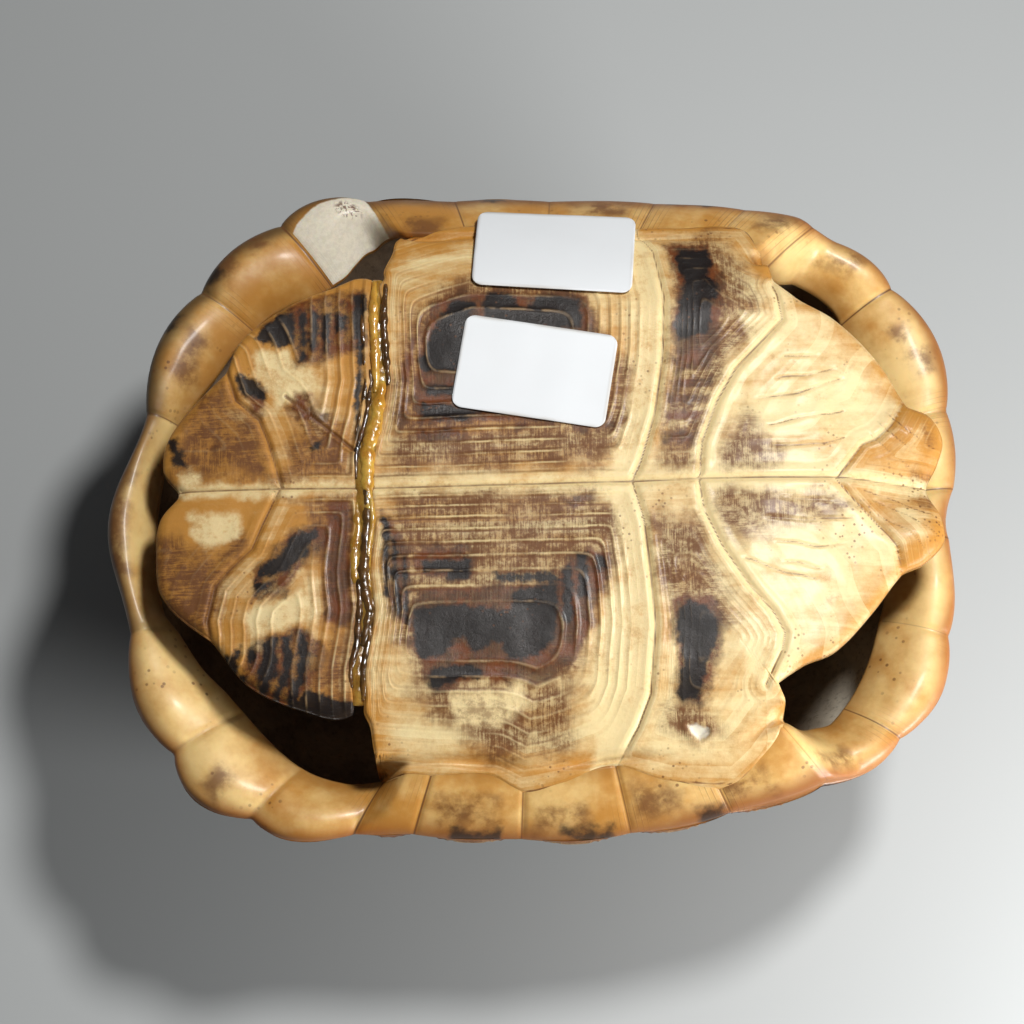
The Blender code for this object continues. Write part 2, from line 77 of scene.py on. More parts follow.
# The two thick throat scutes and the valley between them: middle, half sizes, height
THROAT_HUMPS = [
    ((94, 12.5), (8, 6.5), 2.6), ((94, -13.5), (8, 6.5), 2.6), ((93, -0.5), (9, 4.5), -1.8),
]

# The bridges, where belly and back grow together, and over what length each begins and ends
BRIDGE_BACK, BRIDGE_FRONT = (-48.0, -38.0), (68.0, 80.0)
BRIDGE_FLUSH_STEP = 0.5
BRIDGE_RIM_DROP = 2.2
BRIDGE_LIP_DROP = 3.0
BRIDGE_LIP_STARTS = 0.86

# Belly side of the edge scutes at the leg openings: how plump it is and how far its lip hangs
BAND_PLUMPNESS = 3.4
BAND_PLUMP_SHARE_AT_SEAM = 0.45
BAND_CREST_SKEW = 0.75
BAND_LIP_DROP = 5.0

# How far the edge scutes flare out past the dome, beside the bridges and elsewhere
FLARE_AT_BRIDGE = 2.0
FLARE_MORE_AT_LEGS = 4.0
FLARE_SHARPNESS = 7
RIM_SEAM_NICK = 0.9
RIM_SEAM_NICK_STARTS = (0.8, 0.97)
RIM_SEAM_SHARPNESS = 0.7

# Where two edge scutes meet on the rim, from the head end round the +Y side to the tail and back
RIM_SEAMS = [
    (105.8, 5), (105.2, 26), (93, 58.5), (73, 72.8), (55.5, 77.5), (32.5, 80.6), (5.5, 82.4),
    (-19, 83.2), (-41.3, 83.6), (-63.6, 76.6), (-83.6, 58.4), (-96.9, 25.8), (-100, -31.4),
    (-89, -61.4), (-70.1, -77.5), (-45.5, -81.7), (-31, -82), (-5, -83.5), (21.3, -82.7),
    (45.5, -78.6), (69, -71.9), (88.3, -59.6), (102, -33.6), (103.8, -8),
]
# How far each of those scutes bulges past a smooth line between its two seams
RIM_BULGES = np.array([
    0.8, 3.8, 1.8, 0.6, 0.4, 0.4, 0.4, 0.5, 2.8, 2.1, 3.3, 4.2,
    3.2, 4.0, 2.6, 0.1, 0.3, 0.4, 0.5, 0.1, 1.1, 3.3, 0.8, -1.2,
])
# How rounded the bulges are: below 1 full, and the one over the tail ends in a blunt point
BULGE_ROUNDNESS = 0.8
TAIL_SCUTE, TAIL_SCUTE_ROUNDNESS = 11, 2.4

# How amber each edge scute is, and how smoky its outer edge, from orange to grey-brown
# The far side's scutes, 4 to 10, are darker amber partly in their own colour and partly as painted shade, as
# that side lies in less light
EDGE_SCUTE_LOOKS = [
    (0.22, 0.3), (0.26, 0.3), (0.3, 0.3), (0.48, 0.4), (0.7, 0.4), (0.72, 0.5), (0.78, 0.6),
    (0.98, 0.7), (0.92, 0.9), (0.95, 1), (0.78, 1), (0.2, 0.7), (0.26, 0.3), (0.26, 0.1), (0.6, 0),
    (0.95, 0), (0.66, 0.2), (0.6, 0.3), (0.58, 0.3), (0.56, 0.2), (0.5, 0.2), (0.3, 0.2), (0.22, 0.2),
    (0.2, 0.3),
]
BARE_BONE_SCUTE = 8
BONE_EDGE_STRIP = 4.8
# The dark stain on the bare bone: how far along the scute and across it, and its radius
STAIN_ALONG, STAIN_ACROSS, STAIN_RADIUS = 0.28, 5.5, 3.0
# Dark and brown patches on the belly side of the edge scutes: which scute, from and to along it,
# and from and to across it in millimetres
EDGE_BLACK_MARKS = [
    (16, 0.35, 0.8, -1, 1.8), (17, 0.4, 0.85, -1, 2.6), (18, 0.7, 0.95, -1, 2),
    (10, 0.25, 0.4, -1, 1.5), (6, 0.5, 0.9, -1, 1.2), (4, 0.2, 0.8, -1, 1), (9, 0.75, 0.98, -1, 2.4),
]
EDGE_BROWN_MARKS = [
    (16, 0.1, 0.75, 2, 9), (17, 0.15, 0.6, 2, 7), (18, 0.1, 0.6, 3, 10), (19, 0.05, 0.5, 2, 8),
    (20, 0.1, 0.45, 2, 8), (10, 0.3, 0.7, 6, 12), (9, 0.2, 0.8, 0, 6), (11, 0.3, 0.75, 0, 4),
    (13, 0.4, 0.6, 3, 11), (7, 0.25, 0.8, 9, 18), (5, 0.2, 0.8, 2, 8), (3, 0.2, 0.6, 3, 9),
    (1, 0.3, 0.7, 4, 10), (2, 0.4, 0.7, 3, 8),
]

# Inner lip of the edge scutes, where their belly side ends, in the same order
LIP_EDGE = [
    (88.5, 0), (87.5, 12), (86.5, 22), (84, 31), (80.5, 42), (77.6, 53.2), (67.5, 61), (62.3, 59),
    (56, 58.5), (49, 62.5), (36, 65.5), (18, 66.5), (0, 67.3), (-18, 67.5), (-29, 68), (-34, 69.8),
    (-37.5, 70.6), (-41, 69.3), (-43.5, 66.5), (-47, 62), (-53, 58), (-60, 55.3), (-68, 50.5),
    (-74, 44), (-79, 36.5), (-84.5, 29.5), (-89.5, 22.5), (-93, 13), (-93.5, 5), (-93.9, -2.2),
    (-94.2, -12), (-93, -23), (-87.5, -30.5), (-81.8, -38.8), (-74.8, -46), (-65.1, -56.9),
    (-59.5, -62.4), (-47.3, -67.6), (-36, -67), (-20, -66.5), (0, -67.5), (18, -66.5), (36, -65),
    (50, -62), (58, -57.5), (66, -55.5), (71.4, -54), (76.9, -47), (81.3, -38), (84.2, -29.2),
    (86.8, -20), (88.2, -10),
]

# Free edge of the belly plate with its bridges, from the notch between the throat scutes
BELLY_CENTRE = (15.0, 0.0)
BELLY_EDGE = [
    (96, -1.5), (99, 5), (100.5, 11), (98, 16.5), (92, 19.5), (86.5, 29.5), (75, 42), (65.5, 48),
    (61, 52), (59.5, 57), (57.6, 61.8), (54.1, 68.9), (37.2, 69.8), (20, 69.8), (4, 71.2),
    (-17.6, 71.9), (-26.8, 69.3), (-33, 68), (-34.5, 63), (-36.5, 57.5), (-38, 53),
]
BELLY_EDGE_NEAR = [
    (-42, -53), (-41, -58), (-40, -64), (-38.5, -69), (-30, -70), (-11.6, -70.6), (-4.8, -74),
    (4.4, -72.5), (16.7, -68.8), (30.2, -72.3), (46.6, -73), (52.6, -68), (57.5, -62), (58.5, -54),
    (57, -50.5), (63, -46.5), (71, -43), (80.5, -33.5), (88.5, -23.5), (94.5, -20.5), (99.5, -14.5),
    (99, -9),
]
# The hinge across the belly, from the +Y side to the -Y side
HINGE_LINE = [
    (-38, 55), (-38.5, 48), (-38, 33), (-37.5, 27), (-39, 18), (-41, 9), (-41.5, 0), (-41, -10),
    (-42, -21), (-41, -31), (-42, -38), (-43.5, -46), (-43.5, -56),
]
HINGE_HALF_GAP = 1.4
LOBE_CENTRE = (-64.0, 0.0)
LOBE_EDGE = [
    (-46.5, -56.5), (-57, -54.5), (-69.5, -48.5), (-79.5, -36.5), (-91, -25.5), (-92.5, -16),
    (-91.5, -6), (-87, 0), (-91, 6.5), (-89.5, 15), (-84.5, 22), (-76, 30.5), (-72.5, 38.5), (-65, 45),
    (-50, 52.5), (-41, 55.5),
]

# Seams between the belly's horn scutes. Far is the +Y side, near the -Y side
MIDLINE = [(-95, 0.5), (-60, 0), (-41, -0.4), (23.6, 0), (40, 0.3), (73.3, 0.6), (99, -1.8)]
ABDOMEN_CHEST_FAR = [
    (23.6, 0), (25.9, 5), (29.7, 17.1), (32.2, 32.3), (33, 47.9), (30.8, 61.6), (27.4, 67.1),
    (26.5, 72),
]
ABDOMEN_CHEST_NEAR = [
    (23.6, 0), (26.2, -9.7), (27.4, -23.3), (28.2, -36.1), (26.4, -53), (23.3, -60.3), (18.8, -67.6),
    (17.5, -71),
]
CHEST_SHOULDER_FAR = [
    (40, 0), (41, 9.7), (45.1, 20.2), (49.9, 28.4), (56.3, 35.1), (62, 41.2), (61, 47.9), (60, 50.5),
]
CHEST_SHOULDER_NEAR = [
    (39.9, 0), (40.8, -7.5), (44.8, -16.7), (50.9, -26.6), (56.4, -33.4), (59.1, -38.7), (58.1, -43.1),
    (53.9, -51.2),
]
THROAT_FAR = [(73.3, 0), (80.3, 8.9), (84, 10.4), (87.7, 13.7), (90.9, 19.3), (92, 22)]
THROAT_NEAR = [(73.3, 0), (75.5, -2.8), (81.5, -10), (87.2, -16.7), (88.2, -23.1), (89, -26)]
THIGH_TAIL_FAR = [
    (-61.6, 0), (-63.3, 6.6), (-65.1, 12.5), (-67.3, 18), (-73, 23.3), (-74.7, 28.8), (-76, 33),
]
THIGH_TAIL_NEAR = [
    (-62, 0), (-66.4, -9.2), (-68.8, -14.9), (-74.4, -20.1), (-77.7, -24), (-79.6, -32.5),
    (-79.1, -36.5), (-79, -40),
]
BRIDGE_FAR = [(-36, 66), (-26.8, 69.3), (-17.6, 71.9), (27.6, 70), (54.1, 68.9), (57.6, 61.8)]
BRIDGE_NEAR = [
    (-40, -69), (-26.4, -70), (-11.6, -70.6), (-4.8, -74), (4.4, -72.5), (16.7, -68.8), (30.2, -72.3),
    (46.6, -73), (52.6, -68), (57.5, -62),
]

# Growth rings along each side of a belly scute: the seam, the rings' width beside it, their width
# far from it, and over how many millimetres they widen; then the most rings, where the oldest
# horn lies, how amber the horn is, and how strongly its rings stand out
SCUTE_RINGS = {
    "abdomen_far": ([(MIDLINE, 2.5, 4.2, 30), (ABDOMEN_CHEST_FAR, 1.75, 4.2, 35),
        (HINGE_LINE, 0.9, 1.7, 10), (BRIDGE_FAR, 2.1, 4.2, 30)], 9, 0.50, 0.9),
    "abdomen_near": ([(MIDLINE, 2.5, 4.2, 30), (ABDOMEN_CHEST_NEAR, 1.75, 4.2, 35),
        (HINGE_LINE, 0.8, 1.5, 10), (BRIDGE_NEAR, 2.1, 4.2, 30)], 9, 0.32, 1),
    "chest_far": ([(MIDLINE, 3.4, 5, 40), (ABDOMEN_CHEST_FAR, 1, 1.6, 10),
        (CHEST_SHOULDER_FAR, 1.1, 2, 14), (BRIDGE_FAR, 2.4, 4.2, 30)], 8, 0.46, 0.5),
    "chest_near": ([(MIDLINE, 3.4, 5, 40), (ABDOMEN_CHEST_NEAR, 1, 1.6, 10),
        (CHEST_SHOULDER_NEAR, 1.1, 2, 14), (BRIDGE_NEAR, 2.4, 4.2, 30)], 8, 0.32, 0.32),
    "shoulder_far": ([(MIDLINE, 3, 4.6, 30), (CHEST_SHOULDER_FAR, 2.4, 4.4, 24),
        (THROAT_FAR, 3, 4.6, 20)], 7, 0.20, 0.14),
    "shoulder_near": ([(MIDLINE, 3, 4.6, 30), (CHEST_SHOULDER_NEAR, 2.4, 4.4, 24),
        (THROAT_NEAR, 3, 4.6, 20)], 7, 0.16, 0.12),
    "throat_far": ([(MIDLINE, 1.6, 2.4, 12), (THROAT_FAR, 1.5, 2.4, 12)], 8, 0.80, 0.35),
    "throat_near": ([(MIDLINE, 1.6, 2.4, 12), (THROAT_NEAR, 1.5, 2.4, 12)], 8, 0.74, 0.35),
    "thigh_far": ([(MIDLINE, 3, 4.2, 30), (HINGE_LINE, 3, 3.6, 20), (THIGH_TAIL_FAR, 3, 4, 16)],
        6, 0.84, 0.85),
    "thigh_near": ([(MIDLINE, 3, 4.2, 30), (HINGE_LINE, 3, 3.4, 20), (THIGH_TAIL_NEAR, 2.6, 3.6, 16)],
        7, 0.74, 0.7),
    "tail_far": ([(MIDLINE, 3, 4.4, 16), (THIGH_TAIL_FAR, 2.8, 4.4, 14)], 5, 1.12, 0.12),
    "tail_near": ([(MIDLINE, 3, 4.4, 16), (THIGH_TAIL_NEAR, 2.8, 4.4, 14)], 5, 1.18, 0.12),
}
# The smooth pale strips beside some seams: the line and the strip's half width
PALE_STRIPS = [(MIDLINE, 1.6), (CHEST_SHOULDER_FAR, 1.6), (CHEST_SHOULDER_NEAR, 1.8)]
ABDOMEN_STRIP = 6.5
# How much more amber the belly's horn is at its free edge, and how far in that reaches
EDGE_AMBER = 0.50
EDGE_AMBER_WIDTH = 8.0

# Outlines of the belly's dark pigment, as seen from above
BLACK_MARKS = {
    "far_abdomen": [
        (-17.2, 48.4), (-14.2, 46.9), (-14.4, 44.9), (-15.5, 42), (-6, 36), (-8, 30), (-26.2, 29.3),
        (-27.9, 30.7), (-24.9, 39.6), (-21.5, 44.5), (-19.3, 47.6),
    ],
    "far_abdomen_strip": [
        (-12.1, 48.5), (-10.3, 49.9), (-5.2, 49.6), (-3.5, 46.7), (-0.9, 44.9), (2, 48.8), (6.7, 49),
        (12, 47.4), (12.5, 40), (-5.2, 40), (-11.6, 42.5),
    ],
    "far_abdomen_band_1": [(-26.2, 25.6), (-8, 25.4), (-8, 22.6), (-26.2, 23)],
    "far_abdomen_band_2": [(-27.2, 21.1), (-20.2, 20.6), (-12.8, 18.4), (-17.2, 16.4), (-27.2, 16.6)],
    "far_chest": [
        (37, 61.8), (44, 61.3), (45.7, 57.1), (44, 53.6), (46.5, 51), (46.1, 48.9), (44.4, 44.2),
        (44, 38.2), (36.2, 36.1), (35.6, 40.4), (37, 47.6), (38.3, 52.3), (36.8, 54.5), (36.2, 59.6),
    ],
    "near_abdomen_core": [
        (-30.2, -31.1), (-23.1, -30.1), (-14.6, -30.8), (-6.7, -31.7), (-6, -27.5), (-1.7, -26.1),
        (4.7, -25.2), (5.2, -27.5), (4.7, -33.7), (3.8, -39), (0.8, -41.7), (-0.5, -43.7),
        (-7.7, -44.6), (-8.8, -40.4), (-11.1, -39.5), (-13.3, -41.7), (-15.4, -42.1), (-18, -38.1),
        (-20.1, -39), (-22.3, -42.4), (-27.4, -43.7), (-29.7, -41.7),
    ],
    "near_abdomen_spots": [
        (-26.1, -46.1), (-23.1, -45.7), (-16.3, -44.8), (-13.7, -47), (-14.6, -48.8), (-17.1, -48.4),
        (-21.8, -49.3), (-24, -51), (-26.5, -50.1),
    ],
    "near_abdomen_block": [
        (-27.8, -19.2), (-16.1, -18.8), (-16.3, -24.1), (-21.8, -24.1), (-22.3, -22.1), (-27.4, -21.9),
    ],
    "near_abdomen_dash": [(-10.3, -22.6), (3.8, -22.6), (5.2, -24.6), (3, -25), (-10.3, -24.4)],
    "near_abdomen_bar_1": [(6, -21.5), (8, -20.5), (8.6, -24), (8.5, -33), (7.5, -36.5), (6, -35)],
    "near_abdomen_bar_2": [(9.2, -17.7), (11.9, -18.1), (12.4, -25.7), (11.9, -29.2), (9.8, -29.2)],
    "near_abdomen_bar_3": [(13.4, -18.4), (16.2, -18.8), (16.9, -22), (14.6, -22.6)],
    "near_abdomen_hinge_1": [(-37.2, -8), (-35.6, -9), (-35.5, -28), (-36.9, -27)],
    "near_abdomen_hinge_2": [(-34.9, -13), (-33.6, -14), (-32.9, -33.5), (-34.6, -31)],
    "near_abdomen_hinge_3": [(-32.5, -18), (-31.3, -18), (-30.9, -35), (-31.9, -35)],
    "near_chest": [
        (33.2, -33.7), (36, -30.5), (40.5, -31.5), (43.3, -36), (42.6, -40.5), (39.8, -46.9),
        (38.5, -54), (34, -54.5), (32.6, -52), (34.4, -44.3), (33.2, -39),
    ],
    "far_thigh": [
        (-68.1, 39.1), (-66.4, 42.6), (-62.6, 44.8), (-58.6, 45.6), (-58.2, 41), (-58.8, 37.4),
        (-62, 36.6), (-66, 37.8),
    ],
    "far_thigh_bar_1": [(-57.6, 46), (-55.6, 46), (-55.2, 38), (-55.8, 33), (-57.2, 32.2), (-57.2, 38)],
    "far_thigh_bar_2": [(-54.6, 46), (-52.6, 46), (-52.6, 38), (-53.6, 34.6), (-54.6, 35)],
    "far_thigh_bar_3": [(-51.6, 45), (-49.6, 45), (-49.8, 37), (-50.6, 35), (-51.8, 35.6)],
    "far_thigh_bar_4": [(-48.6, 45), (-45.2, 44.4), (-45.4, 40.4), (-48.4, 40)],
    "far_thigh_hinge": [
        (-44, 50), (-40.6, 50), (-41.2, 34), (-42.2, 24), (-42.6, 9), (-43.8, 8), (-43.6, 24),
        (-43, 33), (-44, 42),
    ],
    "far_thigh_spot": [
        (-72.8, 29.7), (-69.7, 29.2), (-66.9, 27.3), (-65.2, 25.3), (-65.9, 23.3), (-68.8, 23.3),
        (-70.7, 23.8), (-72.3, 27.3),
    ],
    "far_thigh_dot": [(-55, 10.4), (-51.7, 12.4), (-52.2, 9.5), (-54.3, 9)],
    "far_tail": [(-89.7, 13.9), (-87.3, 13.9), (-84.9, 6.5), (-88.3, 7)],
    "near_thigh_strip": [
        (-59, -11.2), (-52.2, -10.5), (-54.3, -14.7), (-55.7, -17.4), (-58.3, -18.8), (-60.1, -21.1),
        (-67.2, -22.5), (-68.1, -20.7), (-63.6, -17.4), (-60.1, -14.2),
    ],
    "near_thigh_drop": [(-68.1, -23), (-63.6, -23.4), (-64.5, -24.8), (-68.1, -27.1)],
    "near_thigh_end": [
        (-76, -41.4), (-73.4, -41), (-71.2, -39.1), (-71.6, -44.7), (-74.3, -46.5), (-75.8, -45.6),
    ],
    "near_thigh_end_low": [(-72.5, -46.5), (-69.8, -46), (-70.7, -49.7)],
    "near_thigh_bar_1": [(-69.8, -39.1), (-67.8, -38.7), (-67.8, -43.3), (-69.8, -45.6)],
    "near_thigh_bar_2": [
        (-66, -38.7), (-62.5, -37.3), (-62.5, -43.3), (-63.2, -47.9), (-66.3, -53), (-67.2, -47.9),
    ],
    "near_thigh_bar_3": [
        (-61.4, -37.3), (-59, -37), (-58.8, -43.3), (-60.1, -48.8), (-62.7, -54), (-64.5, -54),
        (-61.4, -45.1),
    ],
    "near_thigh_bar_4": [
        (-57.8, -35.4), (-55.6, -35.9), (-54.8, -40.5), (-56.1, -47.9), (-58.3, -55.7), (-61, -54.3),
        (-57.6, -45.1),
    ],
    "near_thigh_edge": [(-60.1, -54), (-55, -50), (-49, -53), (-43, -54), (-43, -59), (-60, -57)],
}
# Red-brown pigment, mostly the thin edges of the black
RUST_MARKS = {
    "near_abdomen": [
        (-28, -25.8), (-6, -25.4), (4, -24.5), (7, -20), (13, -16.5), (17.8, -18), (17.8, -24.5),
        (13, -31), (12.4, -38), (7.5, -46), (1, -49.2), (-10.3, -49.6), (-14, -48.6), (-21, -50.4),
        (-25, -52.4), (-28, -49), (-28.4, -44), (-30.8, -41), (-30.6, -30.5),
    ],
    "near_abdomen_block": [(-30, -16), (-17.1, -15), (-15.4, -18.6), (-15.6, -24.6), (-30, -22.6)],
    "near_abdomen_hinge": [
        (-37.5, -6), (-34.5, -9), (-31, -16.5), (-30.2, -35.5), (-33, -35), (-37, -28),
    ],
    "far_abdomen": [
        (-24, 48), (-17, 51), (-12, 50), (-8, 51.5), (0, 48.5), (7, 50.5), (14.2, 48.5), (16, 40),
        (17, 18), (12, 15.5), (-14, 16), (-28.8, 15.4), (-29.4, 27), (-27, 40),
    ],
    "far_abdomen_low": [(-29.4, 14.6), (-17.2, 14.8), (-17.4, 11.4), (-29.1, 11.2)],
    "far_abdomen_dots": [(-4.5, 15.8), (-0.5, 15.8), (-0.5, 13.6), (-4.5, 13.8)],
    "far_abdomen_edge": [(9, 15.5), (19, 17), (19.8, 13.5), (10, 12.6)],
    "far_abdomen_hinge": [(-30.5, 37), (-28.4, 38), (-30, 28), (-31, 17), (-33.2, 14), (-32.6, 27)],
    "far_chest": [
        (33.3, 63.9), (44.8, 62.8), (47.3, 55.3), (48.1, 47.6), (46.5, 38.2), (44, 28.8), (35.4, 27.9),
        (34.1, 38.2), (36.2, 51.1),
    ],
    "far_chest_bar_1": [(34.6, 26.2), (44, 26.4), (44, 23.8), (34, 23.4)],
    "far_chest_bar_2": [(33, 21.8), (43.2, 22), (42.6, 19.6), (32.6, 19.2)],
    "far_chest_bar_3": [(32.4, 17.6), (42, 18.2), (41, 15.2), (31.8, 14.4)],
    "far_chest_bar_4": [(31.4, 12.4), (40, 12.4), (39, 9), (31.2, 9.4)],
    "near_chest": [
        (32.4, -29), (42, -29), (45, -36), (43.5, -44), (41, -52), (38, -56), (31.5, -54), (33, -44),
        (31.6, -37),
    ],
    "far_thigh_top": [
        (-67.5, 42), (-62, 46.5), (-52, 50.5), (-41, 52), (-41, 36), (-44.8, 34), (-47.5, 34),
        (-52.5, 31.5), (-57.8, 31.5), (-59.5, 37), (-64, 38),
    ],
    "far_thigh_spot": [(-71, 25), (-66, 25.6), (-65.4, 22), (-66.8, 18.8), (-69, 19.4)],
    "far_thigh_small": [
        (-58.8, 24.8), (-54.1, 24.3), (-54.6, 21), (-50.3, 18.4), (-50.7, 15.9), (-57.9, 18.4),
        (-62.1, 20.8), (-58.9, 22.3),
    ],
    "far_tail_spot": [(-80.7, 12.9), (-77.6, 11.9), (-79, 10.5)],
    "near_thigh": [
        (-68.6, -37.8), (-62, -36), (-57.5, -34), (-51.5, -39.5), (-51.8, -45.6), (-54, -49),
        (-60, -55), (-66.5, -54), (-71, -50.5), (-70.4, -44),
    ],
    "near_thigh_strip": [
        (-59, -10.4), (-50.8, -9.2), (-49.4, -7), (-48.6, -9.4), (-49.8, -15.4), (-54, -17.4),
        (-58.8, -22.6), (-60.5, -27.6), (-63, -27.4), (-68.8, -27.6), (-68.8, -20.4),
    ],
    "hinge_near": [(-51, -4), (-44.5, -3), (-45, -36), (-51, -34)],
    "midline_spot": [(7.5, -4), (14.5, -2.5), (14.5, -5), (10, -6.5), (8, -6.5)],
}
# Brown, mottled horn
BROWN_MARKS = {
    "far_abdomen": [
        (-36, 3), (16, 4), (24, 14), (24, 28), (16, 40), (14, 53), (-14, 56), (-30, 46), (-35, 20),
    ],
    "near_abdomen": [
        (-35, -2), (14, -2), (21, -8), (18, -24), (12, -40), (8, -50), (-30, -50), (-36, -30),
    ],
    "near_abdomen_smudge": [
        (-30.5, -51), (-22.5, -48.5), (2.5, -48.5), (9, -51), (8, -60), (6, -64), (-7, -67),
        (-12.5, -66.5), (-19, -61), (-27, -56),
    ],
    "far_chest": [
        (30, 3), (39, 3), (43, 20), (50, 32), (56, 40), (54, 52), (48, 66), (36, 66), (35, 40),
        (32, 18),
    ],
    "near_chest": [
        (27, -9), (40, -9), (41.5, -17), (47.5, -32.5), (47, -36), (38.5, -42), (31, -30), (28, -22.5),
    ],
    "near_chest_chip": [
        (29.5, -55.5), (35, -53.5), (40.5, -56), (44.5, -61), (41.5, -64), (37, -64.5), (32.5, -62.5),
        (30, -59),
    ],
    "shoulder_midline": [(42, -2), (66, -3), (76, -6), (66, -12), (50, -16), (44, -12)],
    "shoulder_far_midline": [(44, 3), (58, 3), (62, 9), (52, 16), (46, 14)],
    "throat_tip": [(92, 3), (99, 3), (100, -3), (96, -5), (91, -2)],
    "throat_far_edge": [(94, 15), (97, 14), (98, 9), (95, 9)],
    "far_tail": [(-89, 4), (-64, 2), (-67, 16), (-73, 22), (-76, 29), (-86, 20)],
    "near_thigh_edge": [(-52, -42), (-44, -36), (-43, -56), (-60, -58), (-58, -50)],
    "near_tail": [(-93, -26), (-82, -36), (-79, -38), (-75, -24), (-71, -13), (-80, -15), (-93, -10)],
    "far_thigh_midline": [(-62, 2), (-45, 2), (-44, 18), (-58, 18)],
    "near_thigh_midline": [(-60, -2), (-44, -2), (-44, -34), (-52, -34), (-54, -9)],
}
# Thin, paler horn
PALE_MARKS = {
    "near_abdomen_smudge": [(-21.4, -53), (-4.7, -50), (-1.7, -54.6), (-10.3, -60), (-19.7, -58.5)],
    "near_tail": [(-84.5, -5), (-72, -5.9), (-72, -11.9), (-80, -14.7), (-83.6, -10.5)],
    "far_tail": [(-87, 4.5), (-84, 5.5), (-81, 4.5), (-81, 1.5), (-86, 1.5)],
    "near_chest": [(18, -24), (28, -28), (27, -50), (20, -62), (10, -60), (14, -40)],
    "near_shoulder": [(52, -52), (48, -42), (54, -38), (66, -42), (60, -48)],
    "far_shoulder_peel": [(52, 43), (61, 42), (60, 34), (54, 32)],
    "far_thigh": [
        (-68.3, 36), (-60, 35.6), (-58, 31), (-52, 30.5), (-53.1, 25.8), (-62.6, 21), (-68, 31),
    ],
    "near_thigh": [(-70, -31), (-58, -27), (-53, -24), (-54, -33), (-62, -36), (-70, -37)],
}
CHIP_MARK = [(35, -60), (37, -60), (40, -61), (40, -62), (38, -63.5), (36, -62)]
SCRATCH_LINE = [(-60.7, 23.8), (-44.0, 9.3)]
CRACK_LINES = [
    [(57, 14), (66, 15.5), (76, 17.5)], [(55, 20.5), (64, 22), (76, 26)],
    [(60, 26), (68, 27), (74, 28.5)], [(58, 8.5), (70, 9), (76, 10.5)],
    [(56, -9.5), (66, -10.5), (77, -9.5)], [(58, -15.5), (67, -17), (74, -16.5)],
    [(60, -21), (68, -22.5)], [(50, -20), (60, -24), (67, -25)],
    [(62, 31.5), (70, 32)], [(60, -5), (72, -5.5)],
    [(84, 15), (90, 9), (97, 4)], [(86, 17.5), (92, 11.5), (98.5, 8)],
    [(83, -9), (90, -13), (96, -19)], [(82, -5.5), (90, -9), (98, -14.5)],
    [(80, -3), (88, -5.5), (97.5, -9.5)], [(82, 12), (88, 6), (95, 1.5)],
]

# Middles of the back's large scutes on the flattened dome: a share of the way from the middle
# to the rim, the bearing from the head in degrees, and how much nearer than it is it counts
DOME_SCUTES = [
    (0, 0, 0), (0.36, 0, 0), (0.7, 0, 0), (0.36, 180, 0), (0.72, 180, 0), (0.62, 38, 0.04),
    (0.5, 72, 0.05), (0.5, 110, 0.05), (0.62, 146, 0.04), (0.62, -38, 0.04), (0.5, -72, 0.05),
    (0.5, -110, 0.05), (0.62, -146, 0.04),
]
DOME_SCUTE_LIFT = 3.4
DOME_SCUTE_SLOPE = 0.24
DOME_SCUTE_SHARPNESS = 0.6
EDGE_SCUTES_START = 0.83
EDGE_SCUTE_GAP = 0.10
EDGE_SCUTE_SLOPE = 0.08
EDGE_SCUTE_LIFT = 1.2
EDGE_SCUTE_FADES = (0.93, 1.0)
DOME_MIDDLE_HEIGHT = 62.0
DOME_ROUNDNESS = 2.4
# How much of a quarter round the dome's side uses at its ends, and how much more at the bridges
DOME_QUARTER_USED, DOME_QUARTER_MORE = 0.965, 0.028
# The hollow's widest place, as a share of the rim's height, and how far it cuts into the lip
WIDEST_HEIGHT_SHARE = 0.80
LIP_STARTS = 0.80
LIP_CUT = 1.1
LIP_TURN_SHARPNESS = 1.8
RIM_ROUNDING, RIM_ROUNDING_STARTS = 1.5, 0.9
LIP_THICKNESS = 2.4
BRIDGE_SCUTE_SWELLING, BRIDGE_SWELLING_REACH = 0.5, 0.7

# Where a belly plate bends down onto the edge scutes: how far from the midline, how far in from
# the plate's edge, where the edge scutes' belly side ends, and how far above and below its faces end
PLATE_BEND_STARTS = (50.0, 56.0)
PLATE_BEND_WIDTH, PLATE_BEND_FULL = 8.0, 0.4
BAND_MET = (1.12, 0.98)
PLATE_OVER_BAND, PLATE_UNDER_BAND = 0.25, -1.2
# The plates' round noses: length, and how much less it is beside the bridges and the hinge
NOSE_LENGTH = 3.0
NOSE_LESS_AT_BRIDGE, NOSE_BRIDGE_STARTS = 2.1, (60.0, 66.0)
NOSE_LESS_AT_HINGE, NOSE_HINGE_STARTS = 1.6, (-34.0, -37.0)
LOBE_NOSE_LESS_AT_HINGE, LOBE_NOSE_HINGE_STARTS = 1.4, (-47.0, -44.0)
PLATE_UNDERSIDE_STEPS = (0.998, 0.99, 0.97, 0.94, 0.88, 0.78, 0.64, 0.48, 0.32, 0.16)
PLATE_LIP_SHARE = 0.96

# How finely the skins are cut: faces across each one's grid
BACK_CUTS, BELLY_CUTS, LOBE_CUTS = 204, 280, 200

# The back's relief: rings against the belly's, where they start beside a seam, the seam's half width,
# where the relief fades at the rim and round the worn foot, and the lumps' height and size
BACK_RING_SHARE, BACK_RINGS_FROM_SEAM, BACK_SEAM_WIDTH = 1.1, (0.5, 2.0), 0.9
BACK_RELIEF_FADES, FOOT_ENDS = (0.96, 1.0), (0.18, 0.26)
BACK_LUMP_HEIGHT, BACK_LUMP, BACK_LUMP_FADE = 0.2, 9.0, 8
BACK_BROWN, BACK_RUST_MARGIN, FOOT_WEAR, RIM_TO_MIDDLE = 2.0, 2.0, 20, 70.0
